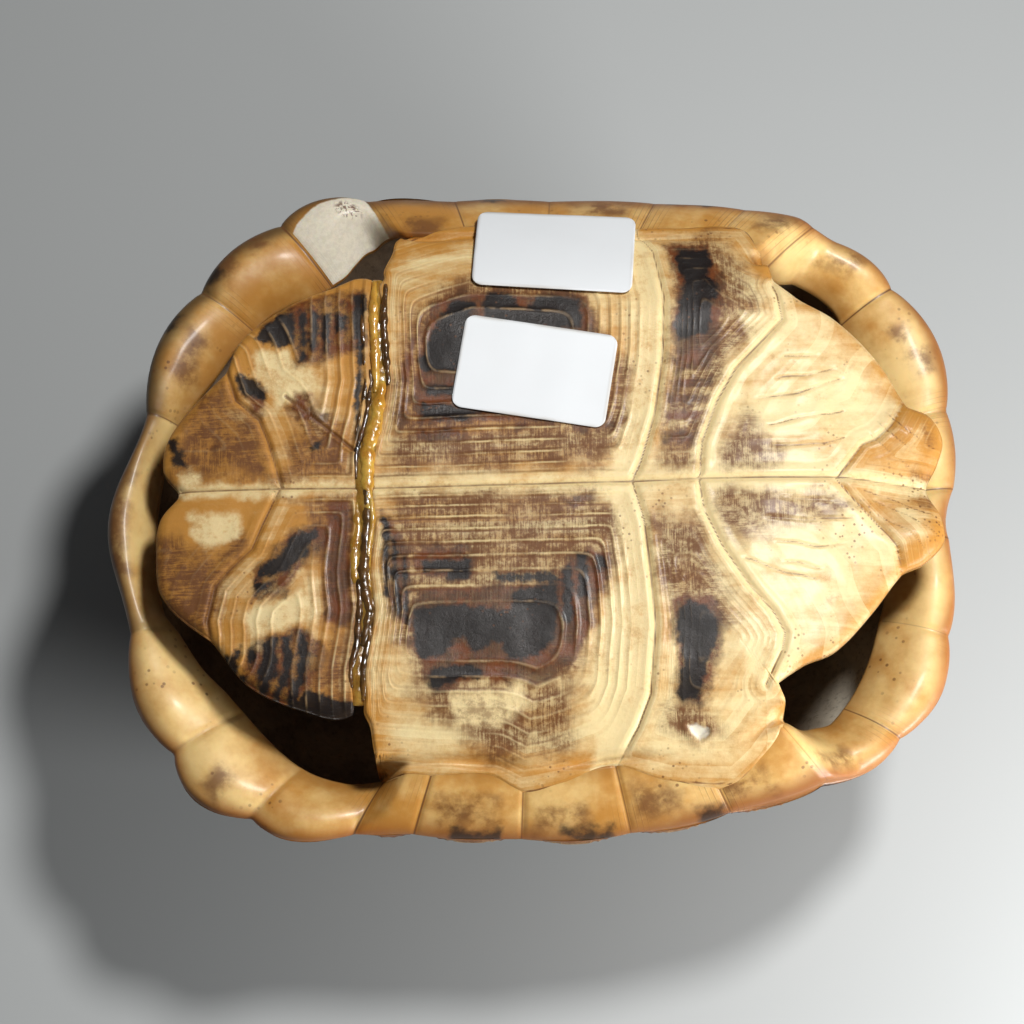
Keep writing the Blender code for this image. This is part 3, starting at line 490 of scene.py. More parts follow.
# The back's rings: their width at a seam, far from it and over what length, then the pigment's
# areolas and front edges, in millimetres, and how far its run goes for a turn round a scute
BACK_RINGS = (1.7, 2.6, 20.0)
AREOLA_RADIUS, FRONT_EDGE_WIDTH, EDGE_SEAM_PIGMENT = 9.0, 3.0, 4.0
RUN_PER_TURN = 26.0
# The edge scutes' belly side: how far in each ring of faces lies, and its seams and lumps
BAND_STEPS = [0.008, 0.02, 0.036, 0.056, 0.08, *np.linspace(0.11, 0.93, 30)]
BAND_SEAM_SHARE, BAND_SEAM_WIDTH, BAND_SEAM_STARTS = 0.8, 0.6, 12
BAND_LUMP_HEIGHT, BAND_LUMP, BAND_LUMP_STARTS = 0.3, 9.0, 8
# The inner lip's turn, from the belly side to the hollow's wall, and the steps down that wall
LIP_TURN_FROM, LIP_TURN_TO, LIP_TURN_STEPS = 0.93, 0.965, (0.25, 0.5, 0.75, 1.0)
LIP_VALUES = {"edge": 16.0, "inward": 1.0, "bone": -8.0}
HOLLOW_STEPS = [*np.linspace(0.94, 0.80, 8), *np.linspace(0.75, 0.05, 15)]
HOLLOW_LUMP_HEIGHT, HOLLOW_LUMP, HOLLOW_RADIUS = 0.5, 8.0, 80.0
# Where the hollow's bone is paler, with less painted shade, at the head end of the near side
PALE_BONE_X, PALE_BONE_Y = (55.0, 90.0), (-10.0, -50.0)

# How far round a mark its distance is worked out, and a distance beyond all seams and cracks
MARK_REACH = 8.0
FAR_AWAY, NO_CRACK = 99.0, 9.0
LUMP_SHIFT = 31.7

# The growth rings' soft wavers (how much, over what size), the patches where they are worn faint,
# how sharply they turn a corner, and how the last ring ends around the oldest horn
RING_WAVERS = ((0.45, 18.0), (0.12, 3.5))
RING_PATCH_SIZE, RING_PATCHES, RING_LEAST = 12.0, (-0.45, 0.25), 0.25
RING_CORNER, RING_CORNER_START = 14.0, 0.05
RING_END, RING_END_FADE = 0.35, 0.1
# One ridge: half its width and its mean, and how much the ridges differ, from a scattering sum
RIDGE_HALF_WIDTH, RIDGE_MEAN = 0.14, 0.28
RIDGE_LEAST, RIDGE_MORE = 0.6, 0.8
SCATTER_TURN, SCATTER_SCALE = 12.9898, 43758.5453
RINGS_FROM_SEAM = (0.6, 2.2)
RING_LOSS_IN_STRIP, STRIP_FADE = 0.75, (0.0, 2.0)
RING_LOSS_AT_SIDES, SIDES_START = 0.5, (50.0, 64.0)
SEAM_STRIP = 0.8
AMBER_TOWARDS_TAIL = 0.0012

# Cross sections of fine lines: height, half width and distance from the line of each hump
SEAM_SECTION = [(-1.0, 0.55, 0.0), (0.22, 1.1, 1.7)]
SCRATCH_SECTION = [(-0.35, 0.35, 0.0), (0.2, 0.35, 0.8)]
CRACK_SECTION = [(-0.16, 0.28, 0.0)]
CRACK_BEND, CRACK_BEND_SIZE = 0.7, 7.0
CHIP_DEPTH, CHIP_SLOPE, CHIP_RIM_SECTION = 0.7, (-0.4, 0.7), [(0.3, 0.6, -0.9)]
BROAD_LUMP, SMALL_LUMP, SMALL_LUMP_SHARE = 14.0, 4.5, 0.3

# Paper labels: middle, size, turn in degrees
LABELS = {
    "paper_label_far": ((6.2, 62.0), (39.8, 23.6), -5.0),
    "paper_label_middle": ((0.6, 28.6), (38.0, 24.2), -10.2),
}
LABEL_CORNER = 2.6
LABEL_STIFFNESS = 2.5
LABEL_CUTS = (78, 44)
# The gap under a label, how much and over what size it waves, and how far in the edge scutes lift it
LABEL_GAP, LABEL_WAVE, LABEL_WAVE_SIZE = 0.42, 0.10, 11.0
BAND_UNDER_LABEL = 0.9

# Strands of the hinge's dried film: where they start and end across the belly, how far they lie
# towards the head, their half width, half height and lift, how dark they are, their waver and seed
FILM_STRANDS = [
    (54.5, -54, 0, 2.4, 1.10, -0.95, 0.45, 0.5, 11),
    (54, 24, -0.8, 1.2, 0.95, 0, 0, 0.6, 12),
    (53, 26, 2.1, 1, 0.75, -0.05, 1, 0.4, 13),
    (52, 12, -3.4, 0.6, 0.40, -0.25, 1, 0.4, 21),
    (27, -6, 0.6, 1.8, 1.05, -0.15, 0, 0.9, 14),
    (30, 2, -2.2, 0.7, 0.55, -0.2, 1, 0.4, 15),
    (-2, -24, 1.2, 0.9, 0.6, -0.1, 0.2, 0.5, 22),
    (2, -40, 0.3, 1.3, 0.85, -0.1, 0.95, 0.6, 16),
    (-4, -26, -2.2, 1.2, 0.6, -0.3, 0.25, 0.5, 17),
    (-22, -50, -1.5, 0.9, 0.7, -0.2, 1, 0.6, 23),
    (-28, -53, 1.4, 0.9, 0.65, -0.3, 0.9, 0.6, 24),
]
FILM_STEPS_PER_MM, FILM_LEAST_STEPS, FILM_TAPER = 2.2, 24, 0.35
# The film's lumps: how much and over what size it swells, and how much and over what size it rises
FILM_SWELL, FILM_SWELL_SIZE, FILM_RISE, FILM_RISE_SIZE, FILM_WAVER_SIZE = 0.35, 2.2, 0.35, 3.4, 9.0

# The camera: its place and lens, as the photograph was taken
PHOTO_SIDE = 1024
VIEW_TILT = math.radians(17.0)
VIEW_ROLL = math.radians(1.2)
VIEW_DISTANCE = 750.0
VIEW_TARGET = np.array([0.0, 0.0, 85.0])
VIEW_FOCUS = 3030.0
VIEW_MIDDLE = (535.0, 501.0)
SENSOR = 36.0
VIEW_DEPTHS = (0.05, 20.0)

# The stage, in metres: the lights' place, aim, width and tint, and the surroundings' tint
KEY_LIGHT = ((0.22, 0.18, 0.76), (0.0, 0.0, 0.06), 0.12, (1.0, 0.985, 0.96))
NEAR_LIGHT = ((0.34, -0.24, 0.17), (0.10, -0.12, 0.0), 0.16, (1.0, 0.99, 0.97))
SKY_TINT = (0.93, 0.96, 1.0, 1.0)
FLOOR_HALF_SIDE, FLOOR_ROUGHNESS = 3.0, 0.75
FLOOR_CLOUD_SCALE, FLOOR_CLOUD_SHADE = 8.0, 0.97


def length_setting(name, description, default, least, most):
    """A size that the user can change, given in millimetres."""
    return bpy.props.FloatProperty(
        name=name, description=description, default=default * MM, min=least * MM, max=most * MM,
        unit="LENGTH", precision=5)


class ShellSizes(bpy.types.PropertyGroup):
    seam_depth: length_setting("Seam depth", "Depth of the grooves between the horn scutes", 0.6, 0, 2)
    ring_height: length_setting("Growth ring height", "Height of the growth rings' ridges", 0.27, 0, 1)
    unevenness: length_setting("Unevenness", "Height of the horn's broad, soft lumps", 0.35, 0, 2)
    label_thickness: length_setting("Label thickness", "Thickness of the paper labels", 0.25, 0.05, 1)


def colour_setting(name, description, default):
    return bpy.props.FloatVectorProperty(
        name=name, description=description, default=default, subtype="COLOR", min=0.0, max=1.0)


class ShellColours(bpy.types.PropertyGroup):
    cream: colour_setting("Cream horn", "The palest horn, beside the seams", (0.85, 0.68, 0.36))
    honey: colour_setting("Honey horn", "The amber horn", (0.53, 0.245, 0.045))
    umber: colour_setting("Brown horn", "The mottled, weathered horn", (0.150, 0.056, 0.018))
    rust: colour_setting("Red-brown pigment", "The thin edges of the dark pigment", (0.150, 0.040, 0.011))
    black: colour_setting("Black pigment", "The middle of the dark pigment", (0.012, 0.010, 0.010))
    smoke: colour_setting(
        "Smoky edge", "The see-through outer edge of the tail's edge scutes", (0.105, 0.062, 0.024))
    ember: colour_setting(
        "Orange edge", "The see-through outer edge of the other edge scutes", (0.36, 0.105, 0.012))
    bone: colour_setting("Bone", "Bare bone", (0.82, 0.76, 0.62))
    amber: colour_setting("Hinge film", "The dried film in the hinge", (0.42, 0.19, 0.022))
    paper: colour_setting("Paper", "The labels' paper", (0.80, 0.83, 0.86))


class StageSettings(bpy.types.PropertyGroup):
    floor_colour: colour_setting("Floor", "The floor under the shell", (0.44, 0.458, 0.464))
    key_power: bpy.props.FloatProperty(
        name="Key light", description="Power of the soft light overhead", default=4.8, min=0.0, unit="POWER")
    near_power: bpy.props.FloatProperty(
        name="Near light", description="Power of the low light beside the head end", default=2.1, min=0.0,
        unit="POWER")
    sky_strength: bpy.props.FloatProperty(
        name="Surroundings", description="Brightness of the light from all round", default=0.055, min=0.0)


def smooth_step(low, high, value):
    """0 below low, 1 above high, and a smooth curve between them."""
    t = np.clip((value - low) / (high - low), 0.0, 1.0)
    return t * t * (3.0 - 2.0 * t)


class PolarOutline:
    """A closed outline round a middle, read as a radius for each bearing."""

    def __init__(self, points, centre=(0.0, 0.0)):
        offsets = np.array(points) - centre
        angles = np.arctan2(offsets[:, 1], offsets[:, 0]) % TURN
        order = np.argsort(angles)
        self.centre = centre
        self.angles = angles[order]
        self.radii = np.hypot(offsets[:, 0], offsets[:, 1])[order]
        self.spans = (np.roll(self.angles, -1) - self.angles) % TURN
        steps = (np.roll(self.radii, -1) - self.radii) / self.spans
        before = np.roll(steps, 1)
        same_way = before * steps > 0
        total = np.where(same_way, before + steps, 1.0)
        self.slopes = np.where(same_way, 2 * before * steps / total, 0.0)

    def place(self, angle):
        """The stretch that a bearing lies in, and how far along it, from 0 to 1."""
        angle = np.asarray(angle) % TURN
        i = (np.searchsorted(self.angles, angle, side="right") - 1) % len(self.angles)
        return i, ((angle - self.angles[i]) % TURN) / self.spans[i]

    def radius(self, angle):
        i, t = self.place(angle)
        j = (i + 1) % len(self.radii)
        rise = self.radii[i] * (1 + 2 * t) * (1 - t) ** 2 + self.radii[j] * t * t * (3 - 2 * t)
        bend = self.slopes[i] * t * (1 - t) ** 2 - self.slopes[j] * t * t * (1 - t)
        return rise + self.spans[i] * bend


class RimOutline(PolarOutline):
    """The rim of the bowl, with a bulge on each edge scute."""

    def radius(self, angle):
        i, t = self.place(angle)
        roundness = np.where(i == TAIL_SCUTE, TAIL_SCUTE_ROUNDNESS, BULGE_ROUNDNESS)
        return self.seam_radius(angle) + RIM_BULGES[i] * np.maximum(np.sin(np.pi * t), 0.0) ** roundness

    def seam_radius(self, angle):
        """Radius of the smooth line through the seams."""
        return super().radius(angle)

    def notch(self, angle):
        """0 at a seam between two edge scutes, 1 halfway between two seams."""
        return np.maximum(np.sin(np.pi * self.place(angle)[1]), 0.0) ** RIM_SEAM_SHARPNESS

    def seam_distance(self, angle):
        """Distance along the rim from the nearest seam, in millimetres."""
        i, t = self.place(angle)
        return np.minimum(t, 1 - t) * self.spans[i] * self.seam_radius(angle)


RIM = RimOutline(RIM_SEAMS)
LIP = PolarOutline(LIP_EDGE)


def rim_height(x):
    """Height of the rim's edge: low over the neck, high beside the tail."""
    head, tail = np.maximum(0.0, x / HALF_LENGTH), np.maximum(0.0, -x / HALF_LENGTH)
    return RIM_HEIGHT_MIDDLE - RIM_DIP_AT_HEAD * head**2 + RIM_RISE_AT_TAIL * tail**2


def bridge_share(x):
    """1 beside the bridges that join belly and back, 0 at the leg openings."""
    return smooth_step(*BRIDGE_BACK, x) * (1.0 - smooth_step(*BRIDGE_FRONT, x))


def belly_height(x, y):
    """Height of the belly's outer face, which rolls down to the bridges and the throat."""
    side = np.maximum(0.0, (np.abs(y) - BRIDGE_ROLL_STARTS) / BRIDGE_ROLL_WIDTH)
    front = np.maximum(0.0, (x - HEAD_DROP_STARTS) / HEAD_DROP_LENGTH)
    back = np.maximum(0.0, (-TAIL_DROP_STARTS - x) / TAIL_DROP_LENGTH)
    height = BELLY_HEIGHT - BRIDGE_ROLL * side**BRIDGE_ROLL_SHARPNESS
    height = height - HEAD_DROP * front**2 - TAIL_DROP * back**2
    for (mid_x, mid_y), (half_x, half_y), hump in THROAT_HUMPS:
        height = height + hump * np.exp(-(((x - mid_x) / half_x) ** 2) - ((y - mid_y) / half_y) ** 2)
    return height


def square_grid(columns, rows):
    """Points of the square from -1 to 1, the faces between them and the way round its edge."""
    lines = np.linspace(-1.0, 1.0, columns + 1), np.linspace(-1.0, 1.0, rows + 1)
    u, v = (a.ravel() for a in np.meshgrid(*lines, indexing="ij"))
    index = np.arange(len(u)).reshape(columns + 1, rows + 1)
    faces = np.stack([index[:-1, :-1], index[1:, :-1], index[1:, 1:], index[:-1, 1:]], axis=-1)
    edge = np.concatenate([index[:-1, 0], index[-1, :-1], index[:0:-1, -1], index[0, :0:-1]])
    return u, v, faces.reshape(-1, 4), edge


def square_to_disc(u, v):
    """(share of the radius, bearing) for points of the square from -1 to 1, area by area."""
    wide = np.abs(u) >= np.abs(v)
    safe_u = np.where(np.abs(u) < 1e-12, 1.0, u)
    safe_v = np.where(np.abs(v) < 1e-12, 1.0, v)
    across = np.pi / 4 * v / safe_u + np.where(u < 0, np.pi, 0.0)
    along = np.pi / 2 - np.pi / 4 * u / safe_v + np.where(v < 0, np.pi, 0.0)
    return np.maximum(np.abs(u), np.abs(v)), np.where(wide, across, along)


def flat_place(share, bearing):
    """Points of the dome laid out flat, as if the scutes were on a disc."""
    return share * np.cos(bearing), share * np.sin(bearing)


def dome_scute_distances(share, angle):
    """For each point, the distances to the nearest and second scute middles, and which is nearest."""
    px, py = flat_place(share, angle)
    away = []
    for s, bearing, nearer in DOME_SCUTES:
        qx, qy = flat_place(s, math.radians(bearing))
        away.append(np.hypot(px - qx, py - qy) - nearer)
    away = np.array(away)
    nearest = np.argmin(away, axis=0)
    first, second = np.partition(away, 1, axis=0)[:2]
    return first, second, nearest


def scute_lift(share, angle):
    """How far the dome's face stands out of the seams between its scutes."""
    first, second, _ = dome_scute_distances(share, angle)
    large = DOME_SCUTE_LIFT * np.minimum(1.0, (second - first) / DOME_SCUTE_SLOPE) ** DOME_SCUTE_SHARPNESS
    to_edge = smooth_step(EDGE_SCUTES_START - EDGE_SCUTE_GAP, EDGE_SCUTES_START, share)
    past_seam = smooth_step(0.0, EDGE_SCUTE_SLOPE, share - EDGE_SCUTES_START)
    small = EDGE_SCUTE_LIFT * RIM.notch(angle) * past_seam
    return large * (1.0 - to_edge) + small * (1.0 - smooth_step(*EDGE_SCUTE_FADES, share))


def dome_steepness(angle):
    """How much of a quarter round the dome's side uses: nearly all of it beside the bridges."""
    return DOME_QUARTER_USED + DOME_QUARTER_MORE * np.sin(angle) ** 2


def dome_out(share, angle):
    """Reach of the dome as a share of the rim's, for even steps along its curve."""
    quarter = np.arcsin(dome_steepness(angle))
    return np.sin(share * quarter) / np.sin(quarter)


def dome_rise(share, angle):
    """Height of the dome's outer face as a share of the rim's."""
    used = dome_steepness(angle)
    here = 1 - np.sqrt(1 - (used * dome_out(share, angle)) ** DOME_ROUNDNESS)
    return here / (1 - np.sqrt(1 - used**DOME_ROUNDNESS))


def dome_section(share, angle):
    """(reach, height) of the dome's outer face without its scutes."""
    rim = RIM.radius(angle)
    flare = FLARE_AT_BRIDGE + FLARE_MORE_AT_LEGS * (1.0 - bridge_share(rim * np.cos(angle)))
    reach = (rim - flare) * dome_out(share, angle) + flare * share**FLARE_SHARPNESS
    base = DOME_SCUTE_LIFT - FOOT_TRIM
    top = rim_height(rim * np.cos(angle))
    return reach, base + (top - base) * dome_rise(share, angle)


def dome_outer(share, angle, relief=0.0):
    """Points of the bowl's outer face; relief is a fine height on it, in millimetres."""
    reach, z = dome_section(share, angle)
    reach = reach - RIM_SEAM_NICK * (1 - RIM.notch(angle)) * smooth_step(*RIM_SEAM_NICK_STARTS, share)
    away = np.hypot(reach, z - DOME_MIDDLE_HEIGHT)
    stretch = 1 + (scute_lift(share, angle) + relief) / away
    reach = reach * stretch
    z = DOME_MIDDLE_HEIGHT + (z - DOME_MIDDLE_HEIGHT) * stretch
    z = z - RIM_ROUNDING * smooth_step(RIM_ROUNDING_STARTS, 1.0, share)
    return np.stack([reach * np.cos(angle), reach * np.sin(angle), np.maximum(z, 0.0)], axis=-1)


def band_surface(inward, angle):
    """Points of the edge scutes' belly side: inward is 0 at the rim and 1 at the lip."""
    rim = RIM.radius(angle)
    x_rim = rim * np.cos(angle)
    bridge = bridge_share(x_rim)
    reach = rim + (LIP.radius(angle) - rim) * inward
    x, y = reach * np.cos(angle), reach * np.sin(angle)
    notch = RIM.notch(angle)
    at_seam = BAND_PLUMP_SHARE_AT_SEAM
    plump = BAND_PLUMPNESS * (at_seam + (1 - at_seam) * notch)
    leg = plump * np.sin(np.pi * inward**BAND_CREST_SKEW) - BAND_LIP_DROP * inward**2
    flush = belly_height(x, y) - BRIDGE_FLUSH_STEP - BRIDGE_RIM_DROP * (1 - inward) ** 2
    flush = flush - BRIDGE_LIP_DROP * smooth_step(BRIDGE_LIP_STARTS, 1.0, inward)
    crest = np.sin(np.pi * np.minimum(1.0, inward / BRIDGE_SWELLING_REACH))
    swelling = BRIDGE_SCUTE_SWELLING * notch * crest
    z = (1 - bridge) * (rim_height(x_rim) + leg) + bridge * (flush + swelling)
    return np.stack([x, y, z], axis=-1)


def dome_share_at(rise, angle):
    """The share of the way to the rim at which the dome has a given share of its height."""
    used = dome_steepness(angle)
    whole = 1 - np.sqrt(1 - used**DOME_ROUNDNESS)
    out = (1 - (1 - rise * whole) ** 2) ** (1 / DOME_ROUNDNESS) / used
    return np.arcsin(out * used) / np.arcsin(used)


def wall_inside(share, angle):
    """(reach, height) of the point a wall's thickness inside the dome's outer face."""
    step = 0.002
    r0, z0 = dome_section(np.maximum(0.0, share - step), angle)
    r1, z1 = dome_section(share + step, angle)
    reach, z = dome_section(share, angle)
    length = np.hypot(r1 - r0, z1 - z0)
    across = np.where(share > 0, DOME_WALL * (z1 - z0) / length, 0.0)
    return reach - across, z + DOME_WALL * (r1 - r0) / length


def hollow_wall(share, angle):
    """Points of the hollow's wall, which narrows again towards the lip."""
    widest_share = dome_share_at(WIDEST_HEIGHT_SHARE, angle)
    low_reach, low_z = wall_inside(widest_share * np.minimum(share, LIP_STARTS) / LIP_STARTS, angle)
    along = np.maximum(0.0, share - LIP_STARTS) / (1 - LIP_STARTS)
    lip = LIP.radius(angle) + LIP_CUT
    reach = low_reach + (lip - low_reach) * along**LIP_TURN_SHARPNESS
    z = low_z + (band_surface(1.0, angle)[..., 2] - LIP_THICKNESS - low_z) * along
    return np.stack([reach * np.cos(angle), reach * np.sin(angle), z], axis=-1)


def line_distance(x, y, line):
    """Distance from each place to a line of straight runs."""
    nearest = np.full(np.shape(x), np.inf)
    for (ax, ay), (bx, by) in zip(line, line[1:]):
        dx, dy = bx - ax, by - ay
        t = np.clip(((x - ax) * dx + (y - ay) * dy) / (dx * dx + dy * dy), 0.0, 1.0)
        nearest = np.minimum(nearest, np.hypot(x - ax - t * dx, y - ay - t * dy))
    return nearest


def inside_distance(x, y, outline):
    """Distance to a closed outline, positive inside it."""
    closed = list(outline) + [outline[0]]
    inside = np.zeros(np.shape(x), bool)
    for (ax, ay), (bx, by) in zip(closed, closed[1:]):
        crosses = (ay > y) != (by > y)
        rise = by - ay if by != ay else 1.0
        inside ^= crosses & (x < ax + (y - ay) * (bx - ax) / rise)
    away = line_distance(x, y, closed)
    return np.where(inside, away, -away)


def marks_distance(x, y, marks):
    """Distance into the nearest of several marks, and at least -MARK_REACH outside them all."""
    far = MARK_REACH
    best = np.full(np.shape(x), -far)
    for outline in marks.values():
        px, py = np.array(outline).T
        close = (x > px.min() - far) & (x < px.max() + far) & (y > py.min() - far) & (y < py.max() + far)
        best[close] = np.maximum(best[close], inside_distance(x[close], y[close], outline))
    return best


def lumps(x, y, size, seed):
    """Smooth noise from -1 to 1 over the plan; size is the lumps' width in millimetres."""
    shift = LUMP_SHIFT * seed
    return np.array([noise.noise(Vector((a / size, b / size, shift))) for a, b in zip(x, y)])


def scute_names(x, y):
    """Which belly scute each place lies on."""
    far = y >= np.interp(x, *np.array(MIDLINE).T)

    def behind(far_line, near_line):
        fx, fy = np.array(far_line).T
        nx, ny = np.array(near_line).T
        return np.where(far, x < np.interp(y, fy, fx), x < np.interp(-y, -ny, nx))

    names = np.full(x.shape, "throat", dtype="<U16")
    names[behind(THROAT_FAR, THROAT_NEAR)] = "shoulder"
    names[behind(CHEST_SHOULDER_FAR, CHEST_SHOULDER_NEAR)] = "chest"
    names[behind(ABDOMEN_CHEST_FAR, ABDOMEN_CHEST_NEAR)] = "abdomen"
    names[x < np.interp(-y, -np.array(HINGE_LINE).T[1], np.array(HINGE_LINE).T[0])] = "thigh"
    names[behind(THIGH_TAIL_FAR, THIGH_TAIL_NEAR)] = "tail"
    return np.char.add(names, np.where(far, "_far", "_near"))


def rings_along(distance, narrow, wide, reach):
    """How many growth rings lie between a seam and a place, where they widen inwards."""
    growth = (wide - narrow) / reach
    return np.log1p(growth * distance / narrow) / growth


def wavering(value, x, y, seeds):
    """A coordinate that strays a little, so that the rings aren't ruled lines."""
    for (amount, size), seed in zip(RING_WAVERS, seeds):
        value = value + amount * lumps(x, y, size, seed)
    return value


def growth_rings(x, y):
    """Ring number, distance to the nearest seam, run along the ring, amber share and ring strength."""
    names = scute_names(x, y)
    ring, run = np.zeros(x.shape), np.zeros(x.shape)
    seam = np.full(x.shape, FAR_AWAY)
    amber, lined = np.zeros(x.shape), np.zeros(x.shape)
    warp_x, warp_y = wavering(x, x, y, (1, 2)), wavering(y, x, y, (3, 4))
    patchy = RING_LEAST + (1 - RING_LEAST) * smooth_step(*RING_PATCHES, lumps(x, y, RING_PATCH_SIZE, 5))
    for name, (sides, most, honey, strength) in SCUTE_RINGS.items():
        here = names == name
        if not here.any():
            continue
        wx, wy = warp_x[here], warp_y[here]
        counts, runs = [], []
        for line, narrow, wide, reach in sides:
            counts.append(rings_along(line_distance(wx, wy, line), narrow, wide, reach))
            runs.append(wx if line is MIDLINE or line in (BRIDGE_FAR, BRIDGE_NEAR) else wy)
            seam[here] = np.minimum(seam[here], line_distance(x[here], y[here], line))
        counts = np.array(counts)
        rounded = np.sum((counts + RING_CORNER_START) ** -RING_CORNER, axis=0) ** (-1 / RING_CORNER)
        ring[here] = np.minimum(rounded, most + RING_END)
        run[here] = np.choose(np.argmin(counts, axis=0), runs)
        amber[here] = honey
        lined[here] = strength * patchy[here] * smooth_step(most + RING_END, most + RING_END_FADE, rounded)
    return ring, seam, run, amber, lined


def hill(distance, half_width, middle=0.0):
    """1 at one distance, and falling smoothly to 0 on both sides of it."""
    return np.exp(-(((distance - middle) / half_width) ** 2))


def section(distance, humps):
    """Height of a line's cross section at a distance from the line."""
    return sum(height * hill(distance, half_width, middle) for height, half_width, middle in humps)


def ring_ridges(ring, height):
    """Height of the rounded ridges of the growth rings, each a little different."""
    whole = np.floor(ring + 0.5)
    scattered = np.abs(np.sin(whole * SCATTER_TURN) * SCATTER_SCALE % 1.0)
    ridge = hill(ring - whole, RIDGE_HALF_WIDTH) - RIDGE_MEAN
    return height * (RIDGE_LEAST + RIDGE_MORE * scattered) * ridge


def belly_relief(x, y, sizes):
    """Height of grooves, growth rings and lumps on the belly, with the values its materials read."""
    ring, seam, run, amber, lined = growth_rings(x, y)
    strip = np.full(x.shape, -MARK_REACH)
    for line, half_width in PALE_STRIPS:
        strip = np.maximum(strip, half_width - line_distance(x, y, line))
    for line in (ABDOMEN_CHEST_FAR, ABDOMEN_CHEST_NEAR):
        line_x, line_y = np.array(line).T
        behind = x < np.interp(y * np.sign(line_y[-1]), np.abs(line_y), line_x)
        strip = np.maximum(strip, np.where(behind, ABDOMEN_STRIP, SEAM_STRIP) - line_distance(x, y, line))
    lined = lined * (1 - RING_LOSS_IN_STRIP * smooth_step(*STRIP_FADE, strip))
    lined = lined * (1 - RING_LOSS_AT_SIDES * smooth_step(*SIDES_START, np.abs(y)))
    rings = ring_ridges(ring, sizes.ring_height / MM) * smooth_step(*RINGS_FROM_SEAM, seam) * lined
    broad = lumps(x, y, BROAD_LUMP, 6) + SMALL_LUMP_SHARE * lumps(x, y, SMALL_LUMP, 7)
    chip = inside_distance(x, y, CHIP_MARK)
    chip_hole = -CHIP_DEPTH * smooth_step(*CHIP_SLOPE, chip) + section(chip, CHIP_RIM_SECTION)
    scratch = line_distance(x, y, SCRATCH_LINE)
    crack = np.full(x.shape, NO_CRACK)
    bent = y + CRACK_BEND * lumps(x, y, CRACK_BEND_SIZE, 19)
    for line in CRACK_LINES:
        crack = np.minimum(crack, line_distance(x, bent, line))
    height = rings + sizes.seam_depth / MM * section(seam, SEAM_SECTION) + sizes.unevenness / MM * broad
    height = height + chip_hole + section(scratch, SCRATCH_SECTION) + section(crack, CRACK_SECTION)
    free_edge = np.full(x.shape, FAR_AWAY)
    for line in (BELLY_EDGE, BELLY_EDGE_NEAR, LOBE_EDGE):
        free_edge = np.minimum(free_edge, line_distance(x, y, line))
    values = {
        "ring": ring,
        "seam": seam,
        "run": run,
        "amber": amber - AMBER_TOWARDS_TAIL * x + EDGE_AMBER * smooth_step(EDGE_AMBER_WIDTH, 0.0, free_edge),
        "lined": lined,
        "black": marks_distance(x, y, BLACK_MARKS),
        "rust": marks_distance(x, y, RUST_MARKS),
        "brown": marks_distance(x, y, BROWN_MARKS),
        "pale": np.maximum(marks_distance(x, y, PALE_MARKS), strip),
        "bone": np.clip(chip, -MARK_REACH, MARK_REACH),
        "scratch": scratch,
        "crack": crack,
    }
    return height, values


class SkinMesh:
    """A closed mesh in the making: a square grid laid on a disc, rings round it, and a last point."""

    def __init__(self, cuts):
        u, v, quads, self.edge = square_grid(cuts, cuts)
        self.share, self.angle = square_to_disc(u, v)
        self.edge_angle = self.angle[self.edge]
        self.points = []
        self.values = []
        self.faces = [quads]
        self.slots = [np.zeros(cuts * cuts, int)]
        self.count = 0
        self.last_ring = self.edge

    def lay_grid(self, points, values):
        self.points.append(points)
        self.values.append(values)
        self.count = len(points)

    def add_ring(self, points, values, slot=0):
        """One more ring, joined to the last one by a row of faces."""
        ring = np.arange(len(points)) + self.count
        last, after = self.last_ring, np.roll(ring, -1)
        self.faces.append(np.stack([last, ring, after, np.roll(last, -1)], axis=-1)[:, ::-1])
        self.slots.append(np.full(len(ring), slot))
        self.points.append(points)
        self.values.append(values)
        self.count += len(ring)
        self.last_ring = ring

    def close(self, point, values, slot=0):
        """The last point, with a fan of faces to the last ring."""
        ring = self.last_ring
        tip = np.full(len(ring), self.count)
        self.fan = np.stack([tip, ring, np.roll(ring, -1)], axis=-1)[:, ::-1]
        self.slots.append(np.full(len(ring), slot))
        self.points.append(np.array([point]))
        self.values.append(values)
        self.count += 1

    def make(self, name, materials, grid_faces_up):
        """The object. grid_faces_up says which way the grid's faces look."""
        quads = np.concatenate(self.faces)
        faces = quads.tolist() + self.fan.tolist()
        if not grid_faces_up:
            faces = [face[::-1] for face in faces]
        values = {key: np.concatenate([v[key] for v in self.values]) for key in self.values[0]}
        return mesh_object(name, np.concatenate(self.points), faces, materials, values,
                           np.concatenate(self.slots))


def mesh_object(name, points, faces, materials, values, slots=None):
    """An object from points in millimetres, with one named number per point for its materials."""
    data = bpy.data.meshes.new(name)
    data.from_pydata((points * MM).tolist(), [], faces)
    for material in materials:
        data.materials.append(material)
    if slots is not None:
        data.polygons.foreach_set("material_index", slots.astype(np.int32))
    data.polygons.foreach_set("use_smooth", np.ones(len(data.polygons), bool))
    for key, numbers in values.items():
        attribute = data.attributes.new(key, "FLOAT", "POINT")
        attribute.data.foreach_set("value", np.asarray(numbers, np.float32))
    data.update()
    obj = bpy.data.objects.new(name, data)
    bpy.context.scene.collection.objects.link(obj)
    return obj


